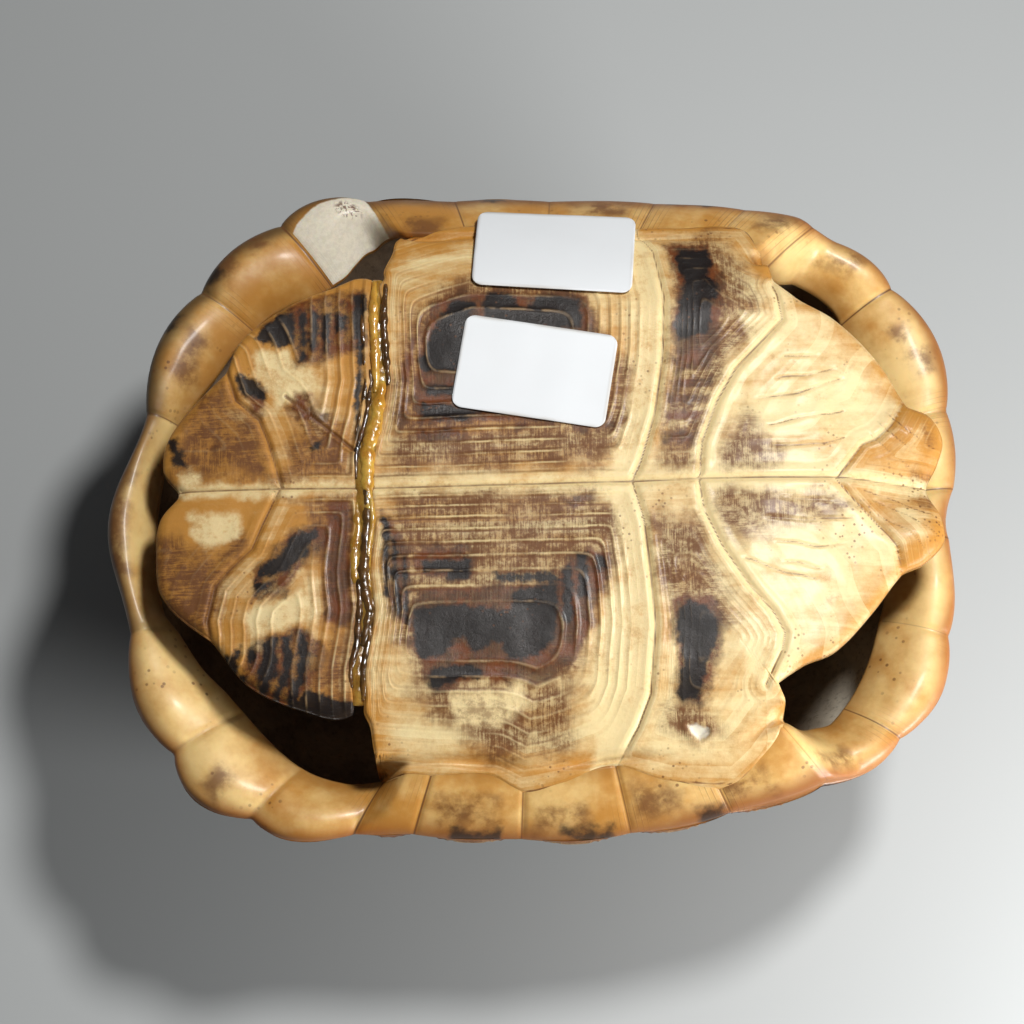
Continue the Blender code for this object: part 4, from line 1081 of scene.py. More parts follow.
class NodeMaker:
    """Adds shader nodes to a tree and joins them, with short calls."""

    def __init__(self, tree):
        self.tree = tree

    def add(self, kind, inputs=None, output=0, **settings):
        node = self.tree.nodes.new(kind)
        for key, value in settings.items():
            setattr(node, key, value)
        for key, value in (inputs or {}).items():
            self.set(node.inputs[key], value)
        return node.outputs[output]

    def set(self, socket, value):
        if isinstance(value, bpy.types.NodeSocket):
            self.tree.links.new(value, socket)
        else:
            socket.default_value = value

    def value(self, name):
        return self.add("ShaderNodeAttribute", output="Fac", attribute_name=name)

    def place(self):
        return self.add("ShaderNodeTexCoord", output="Object")

    def math(self, operation, a, b=0.0, c=0.0):
        return self.add("ShaderNodeMath", {0: a, 1: b, 2: c}, operation=operation)

    def product(self, a, b):
        return self.math("MULTIPLY", a, b)

    def linear(self, value, slope, start):
        """start where value is 0, and slope more for each 1 of it."""
        return self.math("MULTIPLY_ADD", value, slope, start)

    def sway(self, cloud, amount, value):
        """A value moved up and down by a noise whose middle is one half."""
        return self.linear(self.math("SUBTRACT", cloud, 0.5), amount, value)

    def ramp(self, value, low, high, start=0.0, end=1.0):
        """start where value is low, end where it is high, and a smooth curve between them."""
        return self.add("ShaderNodeMapRange", {0: value, 1: low, 2: high, 3: start, 4: end},
                        interpolation_type="SMOOTHSTEP")

    def mix(self, share, a, b, blend="MIX"):
        return self.add("ShaderNodeMix", {0: share, 6: a, 7: b}, output=2, data_type="RGBA",
                        blend_type=blend)

    def noise(self, where, scale, detail=3.0, roughness=0.55, distortion=0.0):
        return self.add("ShaderNodeTexNoise", {"Vector": where, "Scale": scale, "Detail": detail,
                                               "Roughness": roughness, "Distortion": distortion})

    def vector(self, x, y, z=0.0):
        return self.add("ShaderNodeCombineXYZ", {0: x, 1: y, 2: z})

    def group(self, name, inputs, output):
        node = self.tree.nodes.new("ShaderNodeGroup")
        node.node_tree = bpy.data.node_groups[name]
        for key, value in inputs.items():
            self.set(node.inputs[key], value)
        return node.outputs[output]

    def broken_mark(self, name, where, reach, scale, soft):
        """A mark that the mesh holds as a distance to its outline, with a ragged edge."""
        return self.group("Broken edge", {"Distance": self.value(name), "Where": where, "Reach": reach,
                                          "Scale": scale, "Soft": soft}, "Mask")


def start_group(name, inputs, outputs):
    """A new shader node group with number inputs and outputs. A place is named Where."""
    tree = bpy.data.node_groups.new(name, "ShaderNodeTree")
    for socket, default in inputs.items():
        kind = "NodeSocketVector" if default is None else "NodeSocketFloat"
        made = tree.interface.new_socket(socket, in_out="INPUT", socket_type=kind)
        if default is not None:
            made.default_value = default
    for socket in outputs:
        tree.interface.new_socket(socket, in_out="OUTPUT", socket_type="NodeSocketFloat")
    nodes = NodeMaker(tree)
    entry = tree.nodes.new("NodeGroupInput")
    leave = tree.nodes.new("NodeGroupOutput")
    return nodes, entry.outputs, leave.inputs


def make_ring_lines():
    """Growth lines: a crest and a groove at each ring, and a number of its own for each ring."""
    nodes, given, out = start_group("Ring lines", {"Ring": 0.0, "Width": 0.12}, ["Crest", "Groove", "Tone"])
    part = nodes.math("FRACT", given["Ring"])
    near = nodes.math("SUBTRACT", 0.5, nodes.math("ABSOLUTE", nodes.math("SUBTRACT", part, 0.5)))
    crest = nodes.ramp(near, 0.02, given["Width"], 1.0, 0.0)
    beside = nodes.math("ABSOLUTE", nodes.math("SUBTRACT", part, 0.22))
    groove = nodes.ramp(beside, 0.0, given["Width"], 1.0, 0.0)
    number = nodes.math("FLOOR", nodes.math("ADD", given["Ring"], 0.5))
    tone = nodes.add("ShaderNodeTexWhiteNoise", {"W": number}, noise_dimensions="1D")
    nodes.set(out["Crest"], crest)
    nodes.set(out["Groove"], groove)
    nodes.set(out["Tone"], tone)


def make_broken_edge():
    """A mask of a mark whose edge is ragged: Reach is in millimetres, Soft the edge's softness."""
    nodes, given, out = start_group(
        "Broken edge", {"Distance": 0.0, "Where": None, "Reach": 1.0, "Scale": 400.0, "Soft": 0.4}, ["Mask"])
    rough = nodes.noise(given["Where"], given["Scale"], 4.0, 0.6)
    shift = nodes.product(nodes.math("SUBTRACT", rough, 0.5), nodes.product(given["Reach"], 4.0))
    moved = nodes.math("ADD", given["Distance"], shift)
    low = nodes.product(given["Soft"], -1.0)
    nodes.set(out["Mask"], nodes.ramp(moved, low, given["Soft"]))


def make_fibres():
    """Streaks that run across the growth rings, from 0 to 1."""
    nodes, given, out = start_group("Fibres", {"Run": 0.0, "Ring": 0.0, "Fineness": 1.0}, ["Mask"])
    fine = nodes.product(given["Run"], given["Fineness"])
    where = nodes.vector(fine, nodes.product(given["Ring"], 0.55))
    streak = nodes.noise(where, 1.0, 4.0, 0.65, 0.3)
    nodes.set(out["Mask"], nodes.ramp(streak, 0.34, 0.66))


def make_specks():
    """Small scattered dots of dirt, from 0 to 1."""
    nodes, given, out = start_group("Specks", {"Where": None, "Scale": 500.0, "Size": 0.2}, ["Mask"])
    cells = nodes.add("ShaderNodeTexVoronoi", {"Vector": given["Where"], "Scale": given["Scale"]},
                      output="Distance")
    patchy = nodes.ramp(nodes.noise(given["Where"], 60.0, 2.0), 0.5, 0.7)
    dot = nodes.ramp(cells, nodes.product(given["Size"], 0.5), given["Size"], 1.0, 0.0)
    nodes.set(out["Mask"], nodes.product(dot, patchy))


# Colours that aren't among the settings
DEEP_PIGMENT = (0.030, 0.012, 0.008, 1.0)
PIGMENT_SCRATCH = (0.10, 0.10, 0.105, 1.0)
LIT_CREST = (0.46, 0.30, 0.15, 1.0)
PALE_WAX = (0.84, 0.60, 0.25, 1.0)
# Darker amber of the inner lip: partly the horn's own colour, partly painted shade
LIP_AMBER_AND_SHADE = (0.30, 0.125, 0.022, 1.0)
BONE_PORE = (0.40, 0.34, 0.26, 1.0)
OLD_STAIN = (0.12, 0.045, 0.02, 1.0)
# Painted shade: the hollow's bone, pale in itself, is coloured dark because little light reaches inside the
# shell, its pores darker still
SHADED_BONE_DARK, SHADED_BONE_PALER = (0.13, 0.085, 0.05, 1.0), (0.30, 0.21, 0.13, 1.0)
SHADED_BONE_PORE = (0.06, 0.035, 0.02, 1.0)
FILM_YELLOW, FILM_BROWN = (0.62, 0.36, 0.06, 1.0), (0.13, 0.055, 0.012, 1.0)
FILM_DARK = (0.020, 0.012, 0.006, 1.0)
FILM_FLECK = (0.05, 0.02, 0.008, 1.0)
PAPER_CLOUD, PAPER_GRIME = (0.74, 0.76, 0.78, 1.0), (0.45, 0.40, 0.33, 1.0)

# What is the same all over each surface
HORN_FINISH = {
    "Subsurface Weight": 0.08, "Subsurface Radius": (0.003, 0.0013, 0.0005), "Subsurface Scale": 1.0,
    "Specular IOR Level": 0.24, "Coat Weight": 0.06, "Coat Roughness": 0.16, "IOR": 1.54,
}
EDGE_HORN_FINISH = {
    "Subsurface Weight": 0.22, "Subsurface Radius": (0.004, 0.0018, 0.0006), "Subsurface Scale": 1.0,
    "Specular IOR Level": 0.38, "Coat Weight": 0.10, "Coat Roughness": 0.18, "IOR": 1.54,
}
FILM_FINISH = {
    "Subsurface Weight": 0.25, "Subsurface Radius": (0.003, 0.0012, 0.0003), "Subsurface Scale": 1.0,
    "Coat Weight": 0.7, "Coat Roughness": 0.06,
}


def join_surface(nodes, shader, base, rough, height, bump, finish):
    """Feed colour, roughness and fine bumps to the shader, and set what is the same all over."""
    strength, distance = bump
    raised = nodes.add("ShaderNodeBump", {"Strength": strength, "Distance": distance, "Height": height})
    for name, value in (("Base Color", base), ("Roughness", rough), ("Normal", raised)):
        nodes.set(shader.inputs[name], value)
    for name, value in finish.items():
        shader.inputs[name].default_value = value


def colour(values):
    return (*values, 1.0)


def start_material(name):
    material = bpy.data.materials.new(name)
    material.use_nodes = True
    return material, NodeMaker(material.node_tree), material.node_tree.nodes["Principled BSDF"]


def make_horn(name, colours, on_belly):
    """Horn with growth rings, mottling and dark pigment. The belly has drawn marks."""
    material, nodes, shader = start_material(name)
    where = nodes.place()
    ring, seam, run = nodes.value("ring"), nodes.value("seam"), nodes.value("run")
    lined = nodes.value("lined")
    crest = nodes.group("Ring lines", {"Ring": ring, "Width": 0.13}, "Crest")
    groove = nodes.group("Ring lines", {"Ring": ring, "Width": 0.16}, "Groove")
    tone = nodes.group("Ring lines", {"Ring": ring, "Width": 0.10}, "Tone")
    fibres = nodes.group("Fibres", {"Run": run, "Ring": ring, "Fineness": 2.2}, "Mask")
    clouds = nodes.noise(where, 34.0, 5.0, 0.6)
    patches = nodes.noise(where, 150.0, 9.0, 0.68)
    grit = nodes.noise(where, 620.0, 9.0, 0.78)
    stipple = nodes.linear(patches, 0.55, nodes.product(grit, 0.45))

    cream, honey, umber = colour(colours.cream), colour(colours.honey), colour(colours.umber)
    share = nodes.sway(clouds, 1.5, nodes.value("amber"))
    share = nodes.sway(stipple, 1.6, share)
    drawn_out = nodes.add("ShaderNodeMapping", {"Vector": where, "Scale": (26.0, 190.0, 60.0)})
    streaks = nodes.noise(drawn_out, 1.0, 5.0, 0.62, 0.5)
    share = nodes.sway(streaks, 1.5, share)
    share = nodes.sway(tone, 0.34, share)
    base = nodes.mix(nodes.ramp(share, -0.15, 1.10), cream, honey)

    brown_mark = nodes.broken_mark("brown", where, 3.0, 120.0, 3.2)
    worn_in = nodes.ramp(nodes.linear(fibres, 0.10, stipple), 0.44, 0.62)
    brownish = nodes.product(brown_mark, nodes.linear(worn_in, 0.60, 0.36))
    base = nodes.mix(brownish, base, umber)
    dusty = nodes.product(nodes.ramp(stipple, 0.55, 0.70), nodes.linear(clouds, 0.5, 0.05))
    base = nodes.mix(dusty, base, umber)
    ring_dirt = nodes.product(groove, nodes.linear(brown_mark, 0.52, 0.38))
    base = nodes.mix(nodes.product(ring_dirt, lined), base, umber)
    broken = nodes.ramp(nodes.noise(where, 95.0, 4.0, 0.6), 0.40, 0.58, 0.12, 1.0)
    pale_crest = nodes.product(crest, nodes.linear(brown_mark, 0.42, 0.20))
    pale_crest = nodes.product(pale_crest, broken)
    base = nodes.mix(nodes.product(pale_crest, lined), base, cream)

    pale_mark = nodes.broken_mark("pale", where, 1.6, 200.0, 1.4)
    pale_mark = nodes.product(pale_mark, nodes.ramp(stipple, 0.62, 0.46, 0.35, 0.9))
    base = nodes.mix(pale_mark, base, cream)

    rust_mark = nodes.broken_mark("rust", where, 1.3, 300.0, 1.1)
    rusty = nodes.product(rust_mark, nodes.ramp(stipple, 0.60, 0.44, 0.45, 0.97))
    deep = nodes.mix(nodes.ramp(patches, 0.40, 0.60), colour(colours.rust), DEEP_PIGMENT)
    base = nodes.mix(rusty, base, deep)
    black_mark = nodes.broken_mark("black", where, 1.0, 380.0, 0.75)
    base = nodes.mix(nodes.product(black_mark, 0.97), base, colour(colours.black))
    stretched = nodes.add("ShaderNodeMapping", {"Vector": where, "Rotation": (0.0, 0.0, 0.9),
                                                "Scale": (260.0, 2400.0, 260.0)})
    scratches = nodes.ramp(nodes.noise(stretched, 1.0, 3.0, 0.6), 0.62, 0.74, 0.0, 0.35)
    base = nodes.mix(nodes.product(scratches, black_mark), base, PIGMENT_SCRATCH)
    dark = nodes.math("MAXIMUM", black_mark, nodes.product(rust_mark, 0.7))
    lit_crest = nodes.product(nodes.product(crest, dark),
                              nodes.ramp(nodes.noise(where, 170.0, 4.0), 0.44, 0.62, 0.0, 0.60))
    base = nodes.mix(nodes.product(lit_crest, lined), base, LIT_CREST)

    seam_line = nodes.ramp(seam, 0.08, 0.34, 1.0, 0.0)
    seam_dirt = nodes.product(seam_line, nodes.ramp(nodes.noise(where, 90.0, 3.0), 0.3, 0.6, 0.30, 0.85))
    base = nodes.mix(seam_dirt, base, umber)
    specks = nodes.group("Specks", {"Where": where, "Scale": 620.0, "Size": 0.26}, "Mask")
    base = nodes.mix(nodes.product(specks, 0.8), base, umber)
    if on_belly:
        scratched = nodes.ramp(nodes.value("scratch"), 0.2, 0.7, 0.8, 0.0)
        base = nodes.mix(scratched, base, umber)
        crack = nodes.ramp(nodes.value("crack"), 0.05, 0.34, 1.0, 0.0)
        crack = nodes.product(crack, nodes.ramp(patches, 0.42, 0.56, 0.1, 0.8))
        base = nodes.mix(crack, base, umber)
    else:
        rim_edge = nodes.mix(nodes.value("smoky"), colour(colours.ember), colour(colours.smoke))
        base = nodes.mix(nodes.ramp(nodes.value("edge"), 0.5, 5.0, 0.85, 0.0), base, rim_edge)
    bone_mark = nodes.broken_mark("bone", where, 0.5, 300.0, 0.5)
    base = nodes.mix(bone_mark, base, colour(colours.bone))

    rough = nodes.ramp(nodes.noise(where, 75.0, 5.0, 0.65), 0.3, 0.7, 0.32, 0.56)
    rough = nodes.linear(grit, 0.12, rough)
    rough = nodes.linear(dark, -0.12, rough)
    rough = nodes.linear(bone_mark, 0.25, rough)

    height = nodes.linear(grit, 0.9, nodes.product(patches, 0.8))
    height = nodes.linear(nodes.product(crest, lined), 0.5, height)
    height = nodes.linear(nodes.product(fibres, lined), 0.12, height)
    join_surface(nodes, shader, base, rough, height, (0.45, 0.0003), HORN_FINISH)
    return material


def make_edge_horn(name, colours):
    """The smooth, waxy horn of the edge scutes, see-through and darker along the rim, and darker amber with
    painted shade towards the inner lip.
    """
    material, nodes, shader = start_material(name)
    where = nodes.place()
    across, inward, seam = nodes.value("edge"), nodes.value("inward"), nodes.value("seam")
    clouds = nodes.noise(where, 42.0, 4.0, 0.6)
    blotches = nodes.noise(where, 120.0, 6.0, 0.62)
    grit = nodes.noise(where, 700.0, 8.0, 0.75)
    honey, umber = colour(colours.honey), colour(colours.umber)
    share = nodes.sway(clouds, 2.0, nodes.value("amber"))
    share = nodes.sway(blotches, 1.5, share)
    base = nodes.mix(nodes.ramp(share, -0.1, 1.1), PALE_WAX, honey)

    edge_colour = nodes.mix(nodes.value("smoky"), colour(colours.ember), colour(colours.smoke))
    uneven = nodes.sway(clouds, 7.0, across)
    uneven = nodes.linear(nodes.value("smoky"), -1.6, uneven)
    base = nodes.mix(nodes.ramp(uneven, -0.5, 4.6, 0.92, 0.0), base, edge_colour)
    # Towards the inner lip the horn turns a darker amber: partly its own colour, partly painted shade where
    # the lip turns into the hollow
    towards_lip = nodes.sway(clouds, 0.5, inward)
    base = nodes.mix(nodes.ramp(towards_lip, 0.66, 1.02, 0.0, 0.70), base, LIP_AMBER_AND_SHADE)

    brown_mark = nodes.broken_mark("brown", where, 2.0, 110.0, 2.2)
    brownish = nodes.product(brown_mark, nodes.ramp(blotches, 0.40, 0.60, 0.15, 0.8))
    base = nodes.mix(brownish, base, umber)
    black_mark = nodes.broken_mark("black", where, 2.0, 160.0, 1.3)
    base = nodes.mix(nodes.product(black_mark, 0.85), base, colour(colours.black))

    beside = nodes.math("FRACT", nodes.product(seam, 0.75))
    lines = nodes.ramp(nodes.math("ABSOLUTE", nodes.math("SUBTRACT", beside, 0.5)), 0.0, 0.14, 1.0, 0.0)
    lines = nodes.product(lines, nodes.ramp(seam, 2.0, 7.0, 1.0, 0.0))
    lines = nodes.product(lines, nodes.ramp(nodes.noise(where, 30.0, 2.0), 0.45, 0.65, 0.0, 0.5))
    base = nodes.mix(lines, base, umber)
    seam_line = nodes.ramp(seam, 0.10, 0.42, 0.85, 0.0)
    base = nodes.mix(seam_line, base, umber)
    specks = nodes.group("Specks", {"Where": where, "Scale": 420.0, "Size": 0.24}, "Mask")
    base = nodes.mix(nodes.product(specks, 0.75), base, umber)
    bone_mark = nodes.broken_mark("bone", where, 0.35, 260.0, 0.35)
    pores = nodes.ramp(grit, 0.40, 0.62, 0.0, 0.22)
    bone = nodes.mix(pores, colour(colours.bone), BONE_PORE)
    base = nodes.mix(bone_mark, base, bone)
    stain = nodes.product(nodes.ramp(nodes.value("stain"), -0.6, 1.2),
                          nodes.ramp(nodes.noise(where, 430.0, 5.0, 0.7, 1.5), 0.50, 0.56, 0.0, 0.85))
    base = nodes.mix(nodes.product(stain, bone_mark), base, OLD_STAIN)

    rough = nodes.ramp(nodes.noise(where, 60.0, 4.0, 0.6), 0.3, 0.7, 0.38, 0.54)
    rough = nodes.linear(bone_mark, 0.28, rough)
    height = nodes.linear(grit, 0.35, nodes.product(blotches, 0.7))
    height = nodes.linear(lines, -0.8, height)
    height = nodes.linear(nodes.product(grit, bone_mark), 0.9, height)
    join_surface(nodes, shader, base, rough, height, (0.35, 0.0003), EDGE_HORN_FINISH)
    return material


def make_bone(name, colours):
    """The rough bone of the hollow's wall, pale bone coloured dark as painted shade, and paler where its
    bone value is high.
    """
    material, nodes, shader = start_material(name)
    where = nodes.place()
    clouds = nodes.noise(where, 45.0, 5.0, 0.6)
    pores = nodes.noise(where, 600.0, 4.0, 0.7)
    # Painted shade over the whole hollow, in two dark tones mixed by clouds
    shaded_bone_tone = nodes.mix(nodes.ramp(clouds, 0.3, 0.7), SHADED_BONE_DARK, SHADED_BONE_PALER)
    pale = nodes.product(nodes.ramp(nodes.value("bone"), 0.0, 1.0), nodes.ramp(clouds, 0.3, 0.6, 0.5, 1.0))
    base = nodes.mix(pale, shaded_bone_tone, colour(colours.bone))
    base = nodes.mix(nodes.ramp(pores, 0.5, 0.75, 0.0, 0.5), base, SHADED_BONE_PORE)
    rough = nodes.ramp(pores, 0.3, 0.7, 0.62, 0.85)
    join_surface(nodes, shader, base, rough, pores, (0.5, 0.0005), {})
    return material


def make_film(name, colours):
    """The dried film in the hinge: amber and glossy, with darker and yellower strands."""
    material, nodes, shader = start_material(name)
    where = nodes.place()
    strand = nodes.value("strand")
    clouds = nodes.noise(where, 160.0, 4.0, 0.6, 0.4)
    amber = nodes.mix(nodes.ramp(clouds, 0.35, 0.65), colour(colours.amber), FILM_YELLOW)
    dark = nodes.mix(nodes.ramp(clouds, 0.3, 0.7), FILM_DARK, FILM_BROWN)
    base = nodes.mix(strand, amber, dark)
    flecks = nodes.ramp(nodes.noise(where, 700.0, 3.0), 0.62, 0.75, 0.0, 0.5)
    base = nodes.mix(flecks, base, FILM_FLECK)
    rough = nodes.ramp(clouds, 0.3, 0.7, 0.10, 0.26)
    wrinkles = nodes.noise(where, 420.0, 4.0, 0.6, 0.6)
    join_surface(nodes, shader, base, rough, wrinkles, (0.7, 0.0005), FILM_FINISH)
    return material


def make_paper(name, colours):
    """Matt white paper, a little grey and yellow towards its edges."""
    material, nodes, shader = start_material(name)
    where = nodes.place()
    fibre = nodes.noise(where, 1500.0, 4.0, 0.7)
    clouds = nodes.noise(where, 70.0, 3.0, 0.5)
    base = nodes.mix(nodes.ramp(clouds, 0.45, 0.8, 0.0, 0.25), colour(colours.paper), PAPER_CLOUD)
    grubby = nodes.product(nodes.ramp(nodes.value("edge"), 0.0, 1.1, 0.55, 0.0),
                           nodes.ramp(clouds, 0.35, 0.65))
    base = nodes.mix(grubby, base, PAPER_GRIME)
    join_surface(nodes, shader, base, nodes.ramp(fibre, 0.3, 0.7, 0.55, 0.68), fibre, (0.12, 0.0001), {})
    return material


BACK_VALUES = {
    "ring": 3.0, "seam": 9.0, "run": 0.0, "edge": 30.0, "inward": 1.0, "amber": 0.6, "lined": 0.6,
    "smoky": 0.0, **dict.fromkeys(("black", "rust", "brown", "pale", "bone", "stain"), -MARK_REACH),
}


def back_values(count, **given):
    """The numbers that the back's horn and bone read at each of so many points."""
    values = {**BACK_VALUES, **given}
    return {key: np.broadcast_to(np.asarray(value, float), (count,)) for key, value in values.items()}


def dome_values(share, angle):
    """Ring, seam, run and pigment on the outside of the dome, by scute."""
    first, second, nearest = dome_scute_distances(share, angle)
    reach = RIM.seam_radius(angle)
    on_edge_scute = share > EDGE_SCUTES_START
    seam = np.where(on_edge_scute, np.minimum(RIM.seam_distance(angle), (share - EDGE_SCUTES_START) * reach),
                    np.minimum((second - first) * 0.5 * reach, (EDGE_SCUTES_START - share) * reach))
    ring = rings_along(seam, *BACK_RINGS)
    middles = np.array([flat_place(s, math.radians(b)) for s, b, _ in DOME_SCUTES])
    px, py = flat_place(share, angle)
    bearing = np.arctan2(py - middles[nearest, 1], px - middles[nearest, 0])
    run = np.where(on_edge_scute, angle * reach, bearing * RUN_PER_TURN)
    areola = AREOLA_RADIUS - first * reach
    front_edge = FRONT_EDGE_WIDTH - seam + FRONT_EDGE_WIDTH * np.cos(bearing)
    beside_seam = EDGE_SEAM_PIGMENT - np.abs(RIM.seam_distance(angle))
    return ring, seam, run, np.where(on_edge_scute, beside_seam, np.maximum(areola, front_edge))


def band_values(inward, angle):
    """The numbers that the edge scutes' horn reads, at one distance in from the rim."""
    i, t = RIM.place(angle)
    reach = RIM.seam_radius(angle)
    seam = RIM.seam_distance(angle)
    across = inward * (RIM.radius(angle) - LIP.radius(angle))
    black = np.full(np.shape(angle), -MARK_REACH)
    brown = np.full(np.shape(angle), -MARK_REACH)
    for marks, found in ((EDGE_BLACK_MARKS, black), (EDGE_BROWN_MARKS, brown)):
        for scute, start, end, low, high in marks:
            along = np.minimum(t - start, end - t) * RIM.spans[i] * reach
            depth = np.minimum(across - low, high - across)
            found[:] = np.where(i == scute, np.maximum(found, np.minimum(along, depth)), found)
    bare = i == BARE_BONE_SCUTE
    bone = np.where(bare, np.minimum(seam - 0.5, across - BONE_EDGE_STRIP * t), -MARK_REACH)
    from_stain = np.hypot((t - STAIN_ALONG) * RIM.spans[i] * reach, across - STAIN_ACROSS)
    stain = np.where(bare, STAIN_RADIUS - from_stain, -MARK_REACH)
    amber, smoky = np.array(EDGE_SCUTE_LOOKS).T
    return {
        "seam": seam, "run": angle * reach, "edge": across, "inward": inward, "amber": amber[i],
        "smoky": smoky[i], "black": black, "brown": brown, "bone": bone, "stain": stain,
    }


def make_back_mesh(materials, sizes):
    """The domed back with its edge scutes, the inner lip and the hollow's wall."""
    skin = SkinMesh(BACK_CUTS)
    share, angle = skin.share, skin.angle
    ring, seam, run, black = dome_values(share, angle)
    flat = dome_section(share, angle)[0]
    x, y = flat * np.cos(angle), flat * np.sin(angle)
    ridges = ring_ridges(ring, BACK_RING_SHARE * sizes.ring_height / MM)
    relief = ridges * smooth_step(*BACK_RINGS_FROM_SEAM, seam)
    relief = relief - sizes.seam_depth / MM * hill(seam, BACK_SEAM_WIDTH)
    uneven = BACK_LUMP_HEIGHT * lumps(x, y, BACK_LUMP, 8) * (1 - share**BACK_LUMP_FADE)
    relief = relief * (1 - smooth_step(*BACK_RELIEF_FADES, share)) + uneven
    foot = smooth_step(*FOOT_ENDS, share)
    points = dome_outer(share, angle, relief * foot)
    worn = FOOT_WEAR * (1 - foot)
    smoky = np.array(EDGE_SCUTE_LOOKS)[RIM.place(angle)[0], 1]
    skin.lay_grid(points, back_values(
        len(points), ring=ring, seam=seam, run=run, edge=RIM_TO_MIDDLE * (1 - share), smoky=smoky,
        black=black - worn, rust=black + BACK_RUST_MARGIN - worn, brown=BACK_BROWN))
    angle = skin.edge_angle
    count = len(angle)
    for inward in BAND_STEPS:
        points = band_surface(inward, angle)
        values = band_values(inward, angle)
        depth = np.minimum(values["edge"], RIM_ROUNDING)
        points[:, 2] -= RIM_ROUNDING - np.sqrt(RIM_ROUNDING**2 - (RIM_ROUNDING - depth) ** 2)
        groove = hill(values["seam"], BAND_SEAM_WIDTH) * min(1.0, inward * BAND_SEAM_STARTS)
        points[:, 2] -= BAND_SEAM_SHARE * sizes.seam_depth / MM * groove
        uneven = lumps(points[:, 0], points[:, 1], BAND_LUMP, 9) * min(1.0, inward * BAND_LUMP_STARTS)
        points[:, 2] += BAND_LUMP_HEIGHT * uneven
        skin.add_ring(points, back_values(count, **values), slot=2)
    start, middle = band_surface(LIP_TURN_FROM, angle), band_surface(1.0, angle)
    end = hollow_wall(LIP_TURN_TO, angle)
    lip_values = {**band_values(LIP_TURN_FROM, angle), **LIP_VALUES}
    for t in LIP_TURN_STEPS:
        points = start * (1 - t) ** 2 + middle * 2 * t * (1 - t) + end * t * t
        skin.add_ring(points, back_values(count, **lip_values), slot=2)
    for share in HOLLOW_STEPS:
        points = hollow_wall(share, angle)
        rough = HOLLOW_LUMP_HEIGHT * lumps(points[:, 0] + points[:, 2], points[:, 1], HOLLOW_LUMP, 10)
        points[:, :2] *= (1 + rough / HOLLOW_RADIUS)[:, None]
        front = smooth_step(*PALE_BONE_X, points[:, 0]) * smooth_step(*PALE_BONE_Y, points[:, 1])
        skin.add_ring(points, back_values(count, bone=front), slot=1)
    bottom = hollow_wall(0.0, 0.0)
    skin.close(bottom, back_values(1, bone=0.0), slot=1)
    return skin.make("back", materials, grid_faces_up=False)


def plate_section(share, angle, outline, wall, nose):
    """(x, y, half thickness) of a plate with a round nose along its edge."""
    radius = outline.radius(angle)
    full = np.minimum(1.0, (1 - share) * radius / nose)
    swelling = np.sqrt(np.maximum(0.0, 1 - (1 - full) ** 2))
    half = wall / 2 * (NOSE_BLUNTNESS + (1 - NOSE_BLUNTNESS) * swelling)
    x = outline.centre[0] + radius * share * np.cos(angle)
    y = outline.centre[1] + radius * share * np.sin(angle)
    return x, y, half


def band_height(x, y):
    """(height of the edge scutes' belly side, how far in from the rim) at places of the plan."""
    angle = np.arctan2(y, x)
    rim = RIM.radius(angle)
    inward = (rim - np.hypot(x, y)) / (rim - LIP.radius(angle))
    return band_surface(np.clip(inward, 0.0, 1.0), angle)[..., 2], inward


def bend_to_band(x, y, z, inside, most):
    """Heights of a plate whose free edge bends down onto the edge scutes, where it meets them."""
    band, inward = band_height(x, y)
    share = smooth_step(*BAND_MET, inward) * smooth_step(PLATE_BEND_WIDTH, PLATE_BEND_FULL, inside)
    share = share * smooth_step(*PLATE_BEND_STARTS, np.abs(y))
    return z + (np.minimum(z, band + most) - z) * share


def make_plate_mesh(name, materials, sizes, outline, cuts, wall_at, nose_at):
    """A plate of the belly: relief above, plain bone below."""
    skin = SkinMesh(cuts)
    edge_x = outline.radius(skin.angle) * np.cos(skin.angle) + outline.centre[0]
    edge_y = outline.radius(skin.angle) * np.sin(skin.angle) + outline.centre[1]
    nose = nose_at(edge_x, edge_y)
    x, y, half = plate_section(skin.share, skin.angle, outline, BELLY_WALL, nose)
    height, values = belly_relief(x, y, sizes)
    inside = (1 - skin.share) * outline.radius(skin.angle)
    height = height * smooth_step(0.0, 1.0, inside)
    top = belly_height(x, y) - BELLY_WALL / 2 + half + height
    top = bend_to_band(x, y, top, inside, PLATE_OVER_BAND)
    skin.lay_grid(np.stack([x, y, top], axis=-1), values)
    angle = skin.edge_angle
    edge_nose = nose[skin.edge]
    edge_radius = outline.radius(angle)
    edge_values = {key: numbers[skin.edge] for key, numbers in values.items()}
    for share in PLATE_UNDERSIDE_STEPS:
        x, y, half = plate_section(share, angle, outline, BELLY_WALL, edge_nose)
        low = belly_height(x, y) - BELLY_WALL / 2 - half - wall_at(x, y)
        low = bend_to_band(x, y, low, (1 - share) * edge_radius, PLATE_UNDER_BAND)
        slot = 0 if share > PLATE_LIP_SHARE else 1
        skin.add_ring(np.stack([x, y, low], axis=-1), edge_values, slot)
    x, y = outline.centre
    low = float(belly_height(x, y)) - BELLY_WALL
    skin.close((x, y, low), {key: numbers[:1] for key, numbers in edge_values.items()}, slot=1)
    return skin.make(name, materials, grid_faces_up=True)


